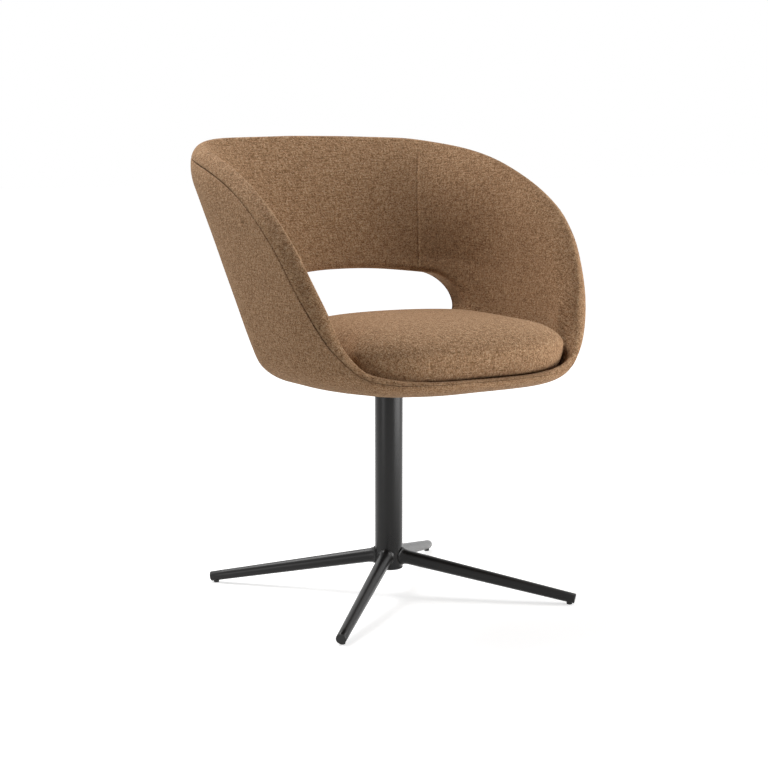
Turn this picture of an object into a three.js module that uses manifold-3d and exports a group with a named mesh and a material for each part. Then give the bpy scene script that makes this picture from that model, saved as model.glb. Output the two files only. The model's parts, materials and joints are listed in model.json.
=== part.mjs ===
// A pedestal swivel armchair: an upholstered bucket on a steel column with four splayed legs.
// Millimetres, +Z up, the front faces -Y. The origin is on the floor, on the axis of the column.
// Bearings are degrees round the vertical from the front of the seat, positive towards +X.

import * as THREE from "three";
import { mergeVertices } from "three/addons/utils/BufferGeometryUtils.js";
import Module from "manifold-3d";

const wasm = await Module();
wasm.setup();

// Clearances
const gap = 0.3; // between two pieces that touch
const overrun = 2; // how far a cutter runs past what it cuts

// Floor base
const legFall = THREE.MathUtils.degToRad(10.8); // slope of a leg down to its tip
const legReach = 327; // from the column axis to the end of a leg
const legRootRadius = 12.2;
const legTipRadius = 8.6;
const legWall = 2;
const weldLength = 14; // stretch of a leg that widens to meet the column
const weldGrowth = 2.6; // by how much its radius grows there
const legCount = 4;
const firstLegBearing = 45;
const glideInset = 9.7; // from the end of a leg in to its glide
const glideReach = legReach - glideInset;
const glideHeight = 3; // free height under the leg
const glideRadius = 5;
const glideFaceRadius = 4.2;
const glideChamfer = 0.7;
const glideStemRadius = 2.4;
const glideStemRise = 3; // how far the stem stands into the bore of the leg
const plugFlange = 1.2;
const plugChamfer = 0.5;
const plugStem = 5;

// Column
const columnRadius = 24;
const columnWall = 3;
const columnLength = 312.7;
const hubDrop = 26.4; // from the leg axes down to the underside of the column cap
const capFlange = 3;
const capLip = 0.4; // how far the cap stands proud of the column
const capRounding = 1.6;
const capSkirt = 10;
const capSkirtWall = 2.5;

// Swivel
const spindleRadius = 12.5;
const spindleLength = 175.6;
const spindleNeckRadius = 16;
const spindleNeckLength = 11;
const collarRadius = 20;
const collarThickness = 5;
const bushingFlange = 3;
const bushingSleeve = 25;
const lowerBushingLength = 24.4;
const thrustWasherThickness = 2;
const thrustWasherRadius = 22;
const boltRadius = 4.7;
const boltLength = 30;
const boltBore = 35;
const boltHeadRadius = 9.2;
const boltHeadHeight = 6.4;
const retainingWasherRadius = 17;
const retainingWasherThickness = 2.5;

// Plate under the seat
const plateWidth = 160;
const plateLength = 190;
const plateBehind = 29; // how far the plate reaches behind the column axis
const plateThickness = 4;
const plateCorner = 14;
const screwInset = 20; // from the plate's edges to its screws
const screwRadius = 2.9;
const screwHeadRadius = 5.6;
const screwHeadHeight = 3.4;
const screwSocketRadius = 2.3;
const screwSocketDepth = 1.8;
const teeBarrelRadius = 4.2;
const teeFlangeRadius = 9.5;
const teeFlange = 1.5;

// Bucket outline in plan: a rounded form that widens and leans back as it rises
const outlineCentreY = -30; // the widest line lies ahead of the column
const outlineHeight = 385;
const outlineFoot = 1; // the outline starts this far below the flat underside
const halfWidthLow = 190;
const halfWidthGain = 116;
const halfWidthPower = 0.245;
const backReachLow = 131;
const backReachGain = 216;
const backReachPower = 1.13;
const frontReach = 275; // at the height of the lip
const frontLean = 0.52; // forward for each step up
const frontSquareness = 3.1;
const backSquareness = 1.9;
const backSquarenessGain = 2.1;
const backSquarenessPower = 1.3;
const topmostShare = 1.2; // the outline's formula holds up to this share of its height

// Bucket rim: the seam between the outer cover and the rim roll
const lipHeight = 25; // above the underside, across the front
const crestHeight = 383; // above the underside, across the back
// Bearing, and share of the climb from lip to crest
const rimShares = [
  [0, 0],
  [30, 0.005],
  [40, 0.025],
  [50, 0.14],
  [60, 0.35],
  [70, 0.56],
  [80, 0.69],
  [100, 0.835],
  [120, 0.925],
  [135, 0.965],
  [150, 0.99],
  [180, 1],
];
const rollAtLip = 17; // full thickness of the wall and its rim roll
const rollAtBack = 44;
const crownAtLip = 3.7; // how far the roll stands above the seam
const crownAtBack = 22;
const rollClimb = 148; // climb above the lip in which the roll comes to its full size
const rollStart = THREE.MathUtils.degToRad(20);
const rollTuckShare = 0.6; // share of the crown that the roll drops inside the wall
const curlReach = 12; // the top of the back and arms leans in again
const curlDepth = 45;
const curlFrom = 254;
const curlClimb = 110;
const cornerInset = 50; // the rounded edge between underside and wall
const cornerRise = 44;
const cornerRiseShare = 0.8; // of the seam height, where the wall is low

// Layers of the bucket, from the outside in
const coverThickness = 4;
const coreThickness = 10;
const coreDropAtLip = 4; // from the seam down to the top of the core
const coreDropAtBack = 22;
const coverHem = 8; // the cover is turned under this far past the rounded edge
const dustCoverThickness = 1.5;
const padToe = 2; // width of the pad's lower edge

// Opening in the lower back
const openingHalfWidth = 200;
const openingBottom = 72; // above the underside
const openingTop = 171;
const openingShoulder = 160; // its top edge falls to this height beside the corners
const openingLowerRadius = 40;
const openingUpperRadius = 45;
const facingThickness = 3;

// Seat cushion
const boardThickness = 8;
const boardMargin = 3;
const cushionGap = 3; // between the cushion and the pad
const cushionToeGap = 8; // between them where the pad draws in at its toe
const cushionSkin = 2;
const cushionHem = 15; // the skin lies this far over the board
const cushionSide = 31; // from its underside up to where the crown starts
const cushionCrown = 52;
const cushionDrawIn = 10; // how far the underside lies inside the widest line
const cushionCentreY = -106;
const crownPower = 4;
// Share of the draw-in, and share of the side height, from the bottom up
const cushionSideShares = [
  [1, 0],
  [0.6, 0.08],
  [0.15, 0.42],
  [0, 0.75],
  [0, 1],
];
const cushionCrownShares = [0.985, 0.95, 0.88, 0.75, 0.55, 0.3]; // of the way out from the centre
const cushionScrewRadius = 2.2;
const cushionScrewHeadRadius = 4.8;
const cushionScrewHead = 3;
const cushionScrewRecess = 4.5;
const cushionScrewBite = 6.5;
const cushionScrewX = 110;
const cushionScrewRear = 10; // ahead of the column axis
const cushionScrewFront = 190;

// How finely round shapes are divided
const shellColumns = 40;
const columnSides = 32;
const legSides = 20;
const smallSides = 12;
const cornerSteps = 4;
const rollSteps = 6;
const arcSteps = 4;
const capRoundingSteps = 3;
const wallShares = [0.3, 0.6, 0.85, 1]; // of the way from the rounded edge up to the core's top
const liningShares = [0.35, 0.7]; // of the way from the rounded edge up to the roll

const upholstery = new THREE.MeshStandardMaterial({ color: 0x8b6e52, roughness: 0.95, metalness: 0 });
const blackSteel = new THREE.MeshStandardMaterial({ color: 0x2c2b2a, roughness: 0.45, metalness: 0.6 });
const plainSteel = new THREE.MeshStandardMaterial({ color: 0xa9abad, roughness: 0.35, metalness: 1 });
const zincSteel = new THREE.MeshStandardMaterial({ color: 0xc3c4bf, roughness: 0.4, metalness: 1 });
const blackPlastic = new THREE.MeshStandardMaterial({ color: 0x1e1e1e, roughness: 0.6, metalness: 0 });
const nylon = new THREE.MeshStandardMaterial({ color: 0xd9d6cc, roughness: 0.5, metalness: 0 });
const felt = new THREE.MeshStandardMaterial({ color: 0x262524, roughness: 1, metalness: 0 });
const plywood = new THREE.MeshStandardMaterial({ color: 0xc7a578, roughness: 0.7, metalness: 0 });
const foam = new THREE.MeshStandardMaterial({ color: 0xe6dcb8, roughness: 1, metalness: 0 });

const mix = (a, b, share) => a + (b - a) * share;
const clampShare = (value) => Math.min(1, Math.max(0, value));

function smoothShare(value) {
  const share = clampShare(value);
  return share * share * (3 - 2 * share);
}

// A curve through its knots that never overshoots them, level at both ends.
function levelCurve(knots) {
  const span = (i) => knots[i + 1][0] - knots[i][0];
  const slope = (i) => (knots[i + 1][1] - knots[i][1]) / span(i);
  const tangents = knots.map((_, i) => {
    const inside = i > 0 && i < knots.length - 1;
    if (!inside || slope(i - 1) * slope(i) <= 0) return 0;
    const before = 2 * span(i) + span(i - 1);
    const after = span(i) + 2 * span(i - 1);
    return (before + after) / (before / slope(i - 1) + after / slope(i));
  });
  return (x) => {
    let i = 0;
    while (i < knots.length - 2 && x > knots[i + 1][0]) i += 1;
    const t = (x - knots[i][0]) / span(i);
    const fromTangents =
      tangents[i] * t * (1 - t) * (1 - t) - tangents[i + 1] * t * t * (1 - t);
    return mix(knots[i][1], knots[i + 1][1], smoothShare(t)) + fromTangents * span(i);
  };
}

// Solids and geometries

function solidOf(geometry) {
  const bare = geometry.clone();
  bare.deleteAttribute("normal");
  bare.deleteAttribute("uv");
  const merged = mergeVertices(bare, 1e-4);
  const corners = merged.index.array;
  const kept = [];
  for (let i = 0; i < corners.length; i += 3) {
    const [a, b, c] = corners.slice(i, i + 3);
    if (a !== b && b !== c && c !== a) kept.push(a, b, c);
  }
  return new wasm.Manifold(
    new wasm.Mesh({
      numProp: 3,
      vertProperties: merged.attributes.position.array,
      triVerts: new Uint32Array(kept),
    }),
  );
}

function geometryOf(solid) {
  const { vertProperties, triVerts, numProp } = solid.getMesh();
  const places = new Float32Array((vertProperties.length / numProp) * 3);
  for (let i = 0; i < places.length / 3; i += 1) {
    places.set(vertProperties.subarray(i * numProp, i * numProp + 3), i * 3);
  }
  const geometry = new THREE.BufferGeometry();
  geometry.setAttribute("position", new THREE.BufferAttribute(places, 3));
  geometry.setIndex(new THREE.BufferAttribute(new Uint32Array(triVerts), 1));
  geometry.computeVertexNormals();
  return geometry;
}

function cut(geometry, cutters) {
  return geometryOf(cutters.reduce((rest, cutter) => rest.subtract(solidOf(cutter)), solidOf(geometry)));
}

function join(first, second) {
  return geometryOf(solidOf(first).add(solidOf(second)));
}

// A solid of revolution round +Z. The profile is a list of [radius, height], closed or
// with both ends on the axis.
function revolve(profile, sides) {
  const next = (i) => profile[(i + 1) % profile.length];
  const area = profile.reduce((sum, [r, z], i) => sum + r * next(i)[1] - next(i)[0] * z, 0);
  const ordered = area > 0 ? profile : [...profile].reverse();
  const points = ordered.map(([r, z]) => new THREE.Vector2(r, z));
  const onAxis = points[0].x === 0 && points[points.length - 1].x === 0;
  if (!onAxis) points.push(points[0].clone());
  return new THREE.LatheGeometry(points, sides).rotateX(Math.PI / 2);
}

function rod(radius, bottom, top, sides) {
  return revolve([[0, bottom], [radius, bottom], [radius, top], [0, top]], sides);
}

function sleeve(inner, outer, bottom, top, sides) {
  return revolve([[inner, bottom], [outer, bottom], [outer, top], [inner, top]], sides);
}

function slab(shape, bottom, top) {
  return new THREE.ExtrudeGeometry(shape, {
    depth: top - bottom,
    bevelEnabled: false,
    curveSegments: arcSteps,
  }).translate(0, 0, bottom);
}

function hexagon(radius) {
  const shape = new THREE.Shape();
  for (let i = 0; i < 6; i += 1) {
    const turn = (i * Math.PI) / 3;
    const [x, y] = [radius * Math.cos(turn), radius * Math.sin(turn)];
    if (i === 0) shape.moveTo(x, y);
    else shape.lineTo(x, y);
  }
  shape.closePath();
  return shape;
}

// A closed surface gathered from sheets that run all round the vertical.
// Each column of a sheet is a list of points from the bottom up. Its two halves are split
// into triangles as mirror images, so that what is symmetric stays so.
class RoundSurface {
  constructor() {
    this.places = [];
  }

  triangle(a, b, c, facingIn) {
    const corners = facingIn ? [a, c, b] : [a, b, c];
    corners.forEach((p) => this.places.push(p.x, p.y, p.z));
  }

  sheet(columns, facingIn = false) {
    columns.forEach((column, i) => {
      const beside = columns[(i + 1) % columns.length];
      for (let j = 0; j + 1 < column.length; j += 1) {
        if (i >= columns.length / 2) {
          this.triangle(column[j], beside[j], beside[j + 1], facingIn);
          this.triangle(column[j], beside[j + 1], column[j + 1], facingIn);
        } else {
          this.triangle(column[j], beside[j], column[j + 1], facingIn);
          this.triangle(beside[j], beside[j + 1], column[j + 1], facingIn);
        }
      }
    });
    return this;
  }

  fan(ring, centre, facingUp) {
    ring.forEach((p, i) => this.triangle(centre, p, ring[(i + 1) % ring.length], !facingUp));
    return this;
  }

  geometry() {
    const geometry = new THREE.BufferGeometry();
    geometry.setAttribute("position", new THREE.Float32BufferAttribute(this.places, 3));
    const merged = mergeVertices(geometry, 1e-4);
    merged.computeVertexNormals();
    return merged;
  }
}

const first = (columns) => columns.map((column) => column[0]);
const last = (columns) => columns.map((column) => column[column.length - 1]);

function strip(from, to) {
  return from.map((p, i) => [p, to[i]]);
}

// A wall between an outer and an inner surface, open in the middle.
function ringSolid(outer, inner) {
  return new RoundSurface()
    .sheet(outer)
    .sheet(inner, true)
    .sheet(strip(last(outer), last(inner)))
    .sheet(strip(first(outer), first(inner)), true)
    .geometry();
}

// A bowl between an outer and an inner surface, closed at its floor.
function bowlSolid(outer, inner, outerCentre, innerCentre) {
  return new RoundSurface()
    .sheet(outer)
    .sheet(inner, true)
    .sheet(strip(last(outer), last(inner)))
    .fan(first(outer), outerCentre, false)
    .fan(first(inner), innerCentre, true)
    .geometry();
}

// A solid with a flat floor and a top that closes at its centre.
function cappedSolid(outer, bottomCentre, topCentre) {
  return new RoundSurface()
    .sheet(outer)
    .fan(first(outer), bottomCentre, false)
    .fan(last(outer), topCentre, true)
    .geometry();
}

// The bucket's surfaces. Heights are above its flat underside.

const seamShareAt = levelCurve(rimShares);

function outlineAt(bearing, height) {
  const rise = Math.min(topmostShare, Math.max(0, (height + outlineFoot) / outlineHeight));
  const across = Math.abs(Math.sin(bearing)) / (halfWidthLow + halfWidthGain * rise ** halfWidthPower);
  const backwards = -Math.cos(bearing);
  const reach =
    backwards > 0
      ? backReachLow + backReachGain * rise ** backReachPower
      : frontReach + frontLean * (height - lipHeight);
  const squareness =
    backwards > 0 ? backSquareness + backSquarenessGain * rise ** backSquarenessPower : frontSquareness;
  const radius =
    (across ** squareness + (Math.abs(backwards) / reach) ** squareness) ** (-1 / squareness);
  return new THREE.Vector3(radius * Math.sin(bearing), outlineCentreY + radius * backwards, height);
}

function inwardAt(bearing, height) {
  const step = 2e-3;
  const along = outlineAt(bearing + step, height).sub(outlineAt(bearing - step, height));
  return new THREE.Vector3(-along.y, along.x, 0).normalize();
}

// What changes with the bearing: the seam, the roll, the rounded edge and the core's top.
function stationAt(bearing) {
  const degrees = Math.abs(THREE.MathUtils.radToDeg(bearing));
  const seam = mix(lipHeight, crestHeight, seamShareAt(degrees));
  const growth = smoothShare((seam - lipHeight) / rollClimb);
  return {
    bearing,
    seam,
    roll: mix(rollAtLip, rollAtBack, growth),
    crown: mix(crownAtLip, crownAtBack, growth),
    edge: Math.min(cornerRise, cornerRiseShare * seam),
    coreTop: seam - mix(coreDropAtLip, coreDropAtBack, growth),
    curl: curlReach * smoothShare((seam - curlFrom) / curlClimb),
  };
}

function stationsRound(count) {
  return Array.from({ length: count }, (_, i) => stationAt(((2 * i) / count - 1) * Math.PI));
}

// A point inside the wall, this deep behind its outer face.
function wallPoint(station, height, depth) {
  const { bearing, seam, curl } = station;
  const level = Math.min(height, seam);
  const inCurl = clampShare((level - seam) / curlDepth + 1);
  const point = outlineAt(bearing, level);
  point.addScaledVector(inwardAt(bearing, level), depth + curl * inCurl * inCurl);
  point.z = height;
  return point;
}

// A point in the rounded edge: turn 0 is at the flat underside, a quarter turn at the wall.
function edgePoint(station, turn, depth) {
  const { bearing, edge } = station;
  const level = edge * (1 - Math.cos(turn));
  const inset = cornerInset - (cornerInset - depth) * Math.sin(turn);
  const point = outlineAt(bearing, level);
  point.addScaledVector(inwardAt(bearing, level), inset);
  point.z = edge - (edge - depth) * Math.cos(turn);
  return point;
}

function edgeTurns(from) {
  const steps = Array.from({ length: cornerSteps + 1 }, (_, i) => i / cornerSteps);
  return steps.filter((share) => share >= from).map((share) => (share * Math.PI) / 2);
}

function wallHeights(station, top) {
  return wallShares.map((share) => mix(station.edge, share === 1 ? top : station.coreTop, share));
}

// A point of the rim roll: turn rollStart is at the seam, a half turn at the inner face.
function rollPoint(station, turn) {
  const step = 2e-3;
  const seamPoint = (bearing) => {
    const beside = stationAt(bearing);
    return wallPoint(beside, beside.seam, 0);
  };
  const along = seamPoint(station.bearing + step).sub(seamPoint(station.bearing - step)).normalize();
  const inward = inwardAt(station.bearing, station.seam);
  inward.addScaledVector(along, -inward.dot(along)).normalize();
  const upward = new THREE.Vector3().crossVectors(inward, along);
  if (upward.z < 0) upward.negate();
  const across = (Math.cos(rollStart) - Math.cos(turn)) / (Math.cos(rollStart) + 1);
  const outerRise = (Math.sin(turn) - Math.sin(rollStart)) / (1 - Math.sin(rollStart));
  const innerRise = Math.sin(turn) * (1 + rollTuckShare) - rollTuckShare;
  return wallPoint(station, station.seam, 0)
    .addScaledVector(inward, across * station.roll)
    .addScaledVector(upward, (turn < Math.PI / 2 ? outerRise : innerRise) * station.crown);
}

const coreOuterDepth = coverThickness + gap;
const coreInnerDepth = coreOuterDepth + coreThickness;
const padDepth = coreInnerDepth + gap;
const floorTop = coreInnerDepth;
const stations = stationsRound(shellColumns);
const underCentre = (height) => new THREE.Vector3(0, outlineCentreY, height);

// The rounded edge and the wall up to the core's top, this deep behind the outer face.
function layerColumns(depth, fromTurnShare, top) {
  return stations.map((station) => [
    ...edgeTurns(fromTurnShare).map((turn) => edgePoint(station, turn, depth)),
    ...wallHeights(station, top(station)).map((height) => wallPoint(station, height, depth)),
  ]);
}

function coverColumns(depth) {
  const upToCore = layerColumns(depth, 0, (station) => station.coreTop);
  return upToCore.map((column, i) => {
    const station = stations[i];
    const hem = outlineAt(station.bearing, 0);
    hem.addScaledVector(inwardAt(station.bearing, 0), cornerInset + coverHem);
    hem.z = depth;
    const middle = wallPoint(station, mix(station.coreTop, station.seam, 1 / 2), depth);
    const top = wallPoint(station, station.seam - gap, depth);
    return [hem, ...column, middle, top];
  });
}

// The lower edge of the pad, in the rounded edge of the core.
function toePoint(station) {
  const [toeTurn] = edgeTurns(1 / 2);
  const toe = edgePoint(station, toeTurn, padDepth + padToe);
  toe.z = edgePoint(station, toeTurn, padDepth).z;
  return toe;
}

// The lining of the bucket at this height, below its rim roll.
function liningPoint(station, height) {
  const toe = toePoint(station);
  if (height <= toe.z) return toe;
  if (height >= station.edge) return wallPoint(station, height, station.roll);
  const above = wallPoint(station, station.edge, station.roll);
  return toe.lerp(above, (height - toe.z) / (station.edge - toe.z));
}

// The lining of the bucket and its rim roll, from the toe up to the seam.
function liningColumns() {
  return stations.map((station) => {
    const rollEnd = rollPoint(station, Math.PI);
    const rollTurns = Array.from({ length: rollSteps - 1 }, (_, i) =>
      mix(Math.PI, rollStart, (i + 1) / rollSteps),
    );
    return [
      toePoint(station),
      wallPoint(station, station.edge, station.roll),
      ...liningShares.map((share) =>
        wallPoint(station, mix(station.edge, rollEnd.z, share), station.roll),
      ),
      rollEnd,
      ...rollTurns.map((turn) => rollPoint(station, turn)),
    ];
  });
}

// The pad's hidden side runs up the core and over its top, and a flap goes on up to the seam.
// Each strip is split into triangles the same way as the strip of the layer that it lies on.
function padGeometry() {
  const top = (station) => station.coreTop + gap;
  const coreSide = layerColumns(padDepth, 1 / 2, top);
  const flap = stations.map((station) => [
    wallPoint(station, top(station), coreOuterDepth),
    wallPoint(station, mix(station.coreTop, station.seam, 1 / 2), coreOuterDepth),
    wallPoint(station, station.seam, coreOuterDepth),
  ]);
  const seamRing = stations.map((station) => wallPoint(station, station.seam, 0));
  const lining = liningColumns();
  return new RoundSurface()
    .sheet(coreSide)
    .sheet(strip(first(flap), last(coreSide)), true)
    .sheet(flap)
    .sheet(strip(seamRing, last(flap)), true)
    .sheet(strip(seamRing, last(lining)))
    .sheet(lining, true)
    .sheet(strip(first(coreSide), first(lining)), true)
    .geometry();
}

// The outline of the opening in the back, grown all round by this much.
function openingShape(grown) {
  const half = openingHalfWidth + grown;
  const bottom = openingBottom - grown;
  const shoulder = openingShoulder + grown;
  const lower = openingLowerRadius + grown;
  const upper = openingUpperRadius + grown;
  const bow = 2 * (openingTop - openingShoulder); // a parabola rises half as far as its handle
  const shape = new THREE.Shape();
  shape.moveTo(lower - half, bottom);
  shape.lineTo(half - lower, bottom);
  shape.absarc(half - lower, bottom + lower, lower, -Math.PI / 2, 0, false);
  shape.absarc(half - upper, shoulder - upper, upper, 0, Math.PI / 2, false);
  shape.quadraticCurveTo(0, shoulder + bow, upper - half, shoulder);
  shape.absarc(upper - half, shoulder - upper, upper, Math.PI / 2, Math.PI, false);
  shape.absarc(lower - half, bottom + lower, lower, Math.PI, (3 * Math.PI) / 2, false);
  return shape;
}

// That outline as a bar that runs from the middle of the bucket out through its back.
function openingBar(grown) {
  const behind = backReachLow + backReachGain;
  return slab(openingShape(grown), -behind, 0).rotateX(Math.PI / 2);
}

const group = new THREE.Group();
const base = new THREE.Group();
const seat = new THREE.Group();
group.add(base, seat);

function place(parent, name, geometry, material) {
  const mesh = new THREE.Mesh(geometry, material);
  mesh.name = name;
  parent.add(mesh);
  return mesh;
}

// Floor base

const legLength = legReach / Math.cos(legFall);
const legRadiusAt = (along) =>
  mix(legRootRadius, legTipRadius, (along - columnRadius) / (legLength - columnRadius));
const glideAlong = glideReach / Math.cos(legFall);
const legAxisAtGlide = glideHeight + legRadiusAt(glideAlong) / Math.cos(legFall);
const legRootHeight = legAxisAtGlide + glideReach * Math.tan(legFall);

// Turns a solid made round +Z into one that lies along a leg, in the frame of the arm.
function alongLeg(geometry) {
  return geometry.rotateY(Math.PI / 2 + legFall);
}

function legProfile(grown) {
  const weldShares = [0, 0.3, 0.6, 1];
  const weld = weldShares.map((share) => {
    const along = columnRadius + share * weldLength;
    return [legRadiusAt(along) + weldGrowth * (1 - share) ** 2 + grown, along];
  });
  const root = columnRadius / 2;
  const tip = legLength - plugFlange - gap;
  return { root, tip, outer: [[weld[0][0], root], ...weld, [legRadiusAt(tip) + grown, tip]] };
}

function legGeometry() {
  const { root, tip, outer } = legProfile(0);
  const bore = [tip, root].map((along) => [legRadiusAt(along) - legWall, along]);
  const tube = alongLeg(revolve([...outer, ...bore], legSides));
  const column = rod(columnRadius + gap, -legRootHeight, legRootHeight, columnSides);
  const stemHole = rod(glideStemRadius + gap, -legRootHeight, 0, smallSides);
  stemHole.translate(glideReach, 0, -glideReach * Math.tan(legFall));
  return cut(tube, [column, stemHole]);
}

function glideGeometry() {
  const { root, outer } = legProfile(gap);
  const legWithGap = alongLeg(revolve([[0, root], ...outer, [0, outer.at(-1)[1]]], legSides));
  const axisHeight = legRootHeight - glideReach * Math.tan(legFall);
  const foot = revolve(
    [[0, 0], [glideFaceRadius, 0], [glideRadius, glideChamfer], [glideRadius, axisHeight], [0, axisHeight]],
    smallSides,
  ).translate(glideReach, 0, -legRootHeight);
  const stemTop = glideHeight + legWall + glideStemRise;
  const stem = rod(glideStemRadius, glideHeight / 2, stemTop, smallSides);
  stem.translate(glideReach, 0, -legRootHeight);
  return join(cut(foot, [legWithGap]), stem);
}

function plugGeometry() {
  const tip = legLength - plugFlange;
  const rim = legRadiusAt(legLength);
  const stemRadius = legRadiusAt(legLength) - legWall - gap;
  const profile = [
    [0, tip - plugStem],
    [stemRadius, tip - plugStem],
    [stemRadius, tip],
    [rim, tip],
    [rim, legLength - plugChamfer],
    [rim - plugChamfer, legLength],
    [0, legLength],
  ];
  return alongLeg(revolve(profile, legSides));
}

const legShape = legGeometry();
const glideShape = glideGeometry();
const plugShape = plugGeometry();
for (let i = 0; i < legCount; i += 1) {
  const arm = new THREE.Group();
  arm.position.z = legRootHeight;
  arm.rotation.z = THREE.MathUtils.degToRad(firstLegBearing + (i * 360) / legCount);
  place(arm, `leg_${i + 1}`, legShape, blackSteel);
  place(arm, `leg_end_plug_${i + 1}`, plugShape, blackPlastic);
  place(arm, `glide_${i + 1}`, glideShape, blackPlastic);
  base.add(arm);
}

// Column

const columnBore = columnRadius - columnWall;
const columnBottom = capFlange + gap;
const columnTop = columnBottom + columnLength;
const column = new THREE.Group();
column.position.z = legRootHeight - hubDrop;
base.add(column);
place(
  column,
  "column_tube",
  sleeve(columnBore, columnRadius, columnBottom, columnTop, columnSides),
  blackSteel,
);

function capGeometry() {
  const outer = columnRadius + capLip;
  const skirt = columnBore - gap;
  const rounding = Array.from({ length: capRoundingSteps }, (_, i) => {
    const turn = ((i + 1) / capRoundingSteps) * (Math.PI / 2);
    return [
      outer - capRounding * (1 - Math.sin(turn)),
      capRounding * (1 - Math.cos(turn)),
    ];
  });
  return revolve(
    [
      [0, 0],
      [outer - capRounding, 0],
      ...rounding,
      [outer, capFlange],
      [skirt, capFlange],
      [skirt, capFlange + capSkirt],
      [skirt - capSkirtWall, capFlange + capSkirt],
      [skirt - capSkirtWall, capFlange],
      [0, capFlange],
    ],
    columnSides,
  );
}

place(column, "column_base_cap", capGeometry(), blackPlastic);

// Swivel: the heights here are above the face of the collar, which turns on the thrust washer

const spindleBore = spindleRadius + gap;
const bushingRadius = columnBore - gap;
const washerTop = -gap;
const washerBottom = washerTop - thrustWasherThickness;
const flangeTop = washerBottom - gap;
const flangeBottom = flangeTop - bushingFlange;
const spindleTop = collarThickness + spindleNeckLength;
const spindleBottom = spindleTop - spindleLength;
const collarFace = column.position.z + columnTop + gap - flangeBottom;

const bearing = new THREE.Group();
bearing.position.z = collarFace;
base.add(bearing);
place(
  bearing,
  "upper_bushing",
  revolve(
    [
      [spindleBore, flangeBottom - bushingSleeve],
      [bushingRadius, flangeBottom - bushingSleeve],
      [bushingRadius, flangeBottom],
      [columnRadius, flangeBottom],
      [columnRadius, flangeTop],
      [spindleBore, flangeTop],
    ],
    columnSides,
  ),
  nylon,
);
place(
  bearing,
  "lower_bushing",
  sleeve(spindleBore, bushingRadius, spindleBottom + gap, spindleBottom + lowerBushingLength, columnSides),
  nylon,
);
place(
  bearing,
  "thrust_washer",
  sleeve(spindleBore, thrustWasherRadius, washerBottom, washerTop, columnSides),
  plainSteel,
);

const swivel = new THREE.Group();
swivel.position.z = collarFace;
seat.add(swivel);
const threadBore = boltRadius + gap;
place(
  swivel,
  "swivel_spindle",
  revolve(
    [
      [0, spindleBottom + boltBore],
      [threadBore, spindleBottom + boltBore],
      [threadBore, spindleBottom],
      [spindleRadius, spindleBottom],
      [spindleRadius, 0],
      [collarRadius, 0],
      [collarRadius, collarThickness],
      [spindleNeckRadius, collarThickness],
      [spindleNeckRadius, spindleTop],
      [0, spindleTop],
    ],
    columnSides,
  ),
  plainSteel,
);
const retainerTop = spindleBottom - gap;
const retainerBottom = retainerTop - retainingWasherThickness;
place(
  swivel,
  "retaining_washer",
  sleeve(threadBore, retainingWasherRadius, retainerBottom, retainerTop, legSides),
  zincSteel,
);
const boltSeat = retainerBottom - gap;
place(
  swivel,
  "retaining_bolt",
  join(
    slab(hexagon(boltHeadRadius), boltSeat - boltHeadHeight, boltSeat),
    rod(boltRadius, boltSeat - boltHeadHeight / 2, boltSeat + boltLength, smallSides),
  ),
  zincSteel,
);

// Plate, its screws and the nuts in the floor of the core

const plateBottom = collarFace + spindleTop + gap;
const plateTop = plateBottom + plateThickness;
const dustCoverBottom = plateTop + gap;
const underside = dustCoverBottom + dustCoverThickness + gap - coreOuterDepth;
const plateCentreY = plateBehind - plateLength / 2;
const screwPlaces = [-1, 1].flatMap((side) =>
  [-1, 1].map((end) => [
    side * (plateWidth / 2 - screwInset),
    plateCentreY + end * (plateLength / 2 - screwInset),
  ]),
);

function plateShape() {
  const [right, left] = [plateWidth / 2, -plateWidth / 2];
  const [back, front] = [plateBehind, plateBehind - plateLength];
  const r = plateCorner;
  const shape = new THREE.Shape();
  shape.moveTo(left + r, front);
  shape.absarc(right - r, front + r, r, -Math.PI / 2, 0, false);
  shape.absarc(right - r, back - r, r, 0, Math.PI / 2, false);
  shape.absarc(left + r, back - r, r, Math.PI / 2, Math.PI, false);
  shape.absarc(left + r, front + r, r, Math.PI, (3 * Math.PI) / 2, false);
  screwPlaces.forEach(([x, y]) => {
    const hole = new THREE.Path();
    hole.absarc(x, y, screwRadius + gap, 0, 2 * Math.PI, true);
    shape.holes.push(hole);
  });
  return shape;
}

place(seat, "seat_plate", slab(plateShape(), 0, plateThickness), blackSteel).position.z = plateBottom;

const shell = new THREE.Group();
shell.position.z = underside;
seat.add(shell);

const plateUnder = plateBottom - underside;
const teeFlangeBottom = floorTop - teeFlange;
const screwTip = teeFlangeBottom;

function screwGeometry() {
  const seatFace = plateUnder - gap;
  const headBottom = seatFace - screwHeadHeight;
  const headShoulder = mix(headBottom, seatFace, 1 / 2);
  const body = revolve(
    [
      [0, headBottom],
      [screwHeadRadius / 2, headBottom],
      [screwHeadRadius, headShoulder],
      [screwHeadRadius, seatFace],
      [screwRadius, seatFace],
      [screwRadius, screwTip],
      [0, screwTip],
    ],
    smallSides,
  );
  const socket = slab(hexagon(screwSocketRadius), headBottom - overrun, headBottom + screwSocketDepth);
  return cut(body, [socket]);
}

function teeNutGeometry() {
  const bore = screwRadius + gap;
  return revolve(
    [
      [bore, coreOuterDepth],
      [teeBarrelRadius, coreOuterDepth],
      [teeBarrelRadius, teeFlangeBottom],
      [teeFlangeRadius, teeFlangeBottom],
      [teeFlangeRadius, floorTop],
      [bore, floorTop],
    ],
    smallSides,
  );
}

const screwShape = screwGeometry();
const teeNutShape = teeNutGeometry();
screwPlaces.forEach(([x, y], i) => {
  place(shell, `plate_screw_${i + 1}`, screwShape, zincSteel).position.set(x, y, 0);
  place(shell, `tee_nut_${i + 1}`, teeNutShape, zincSteel).position.set(x, y, 0);
});

// Bucket

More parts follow.
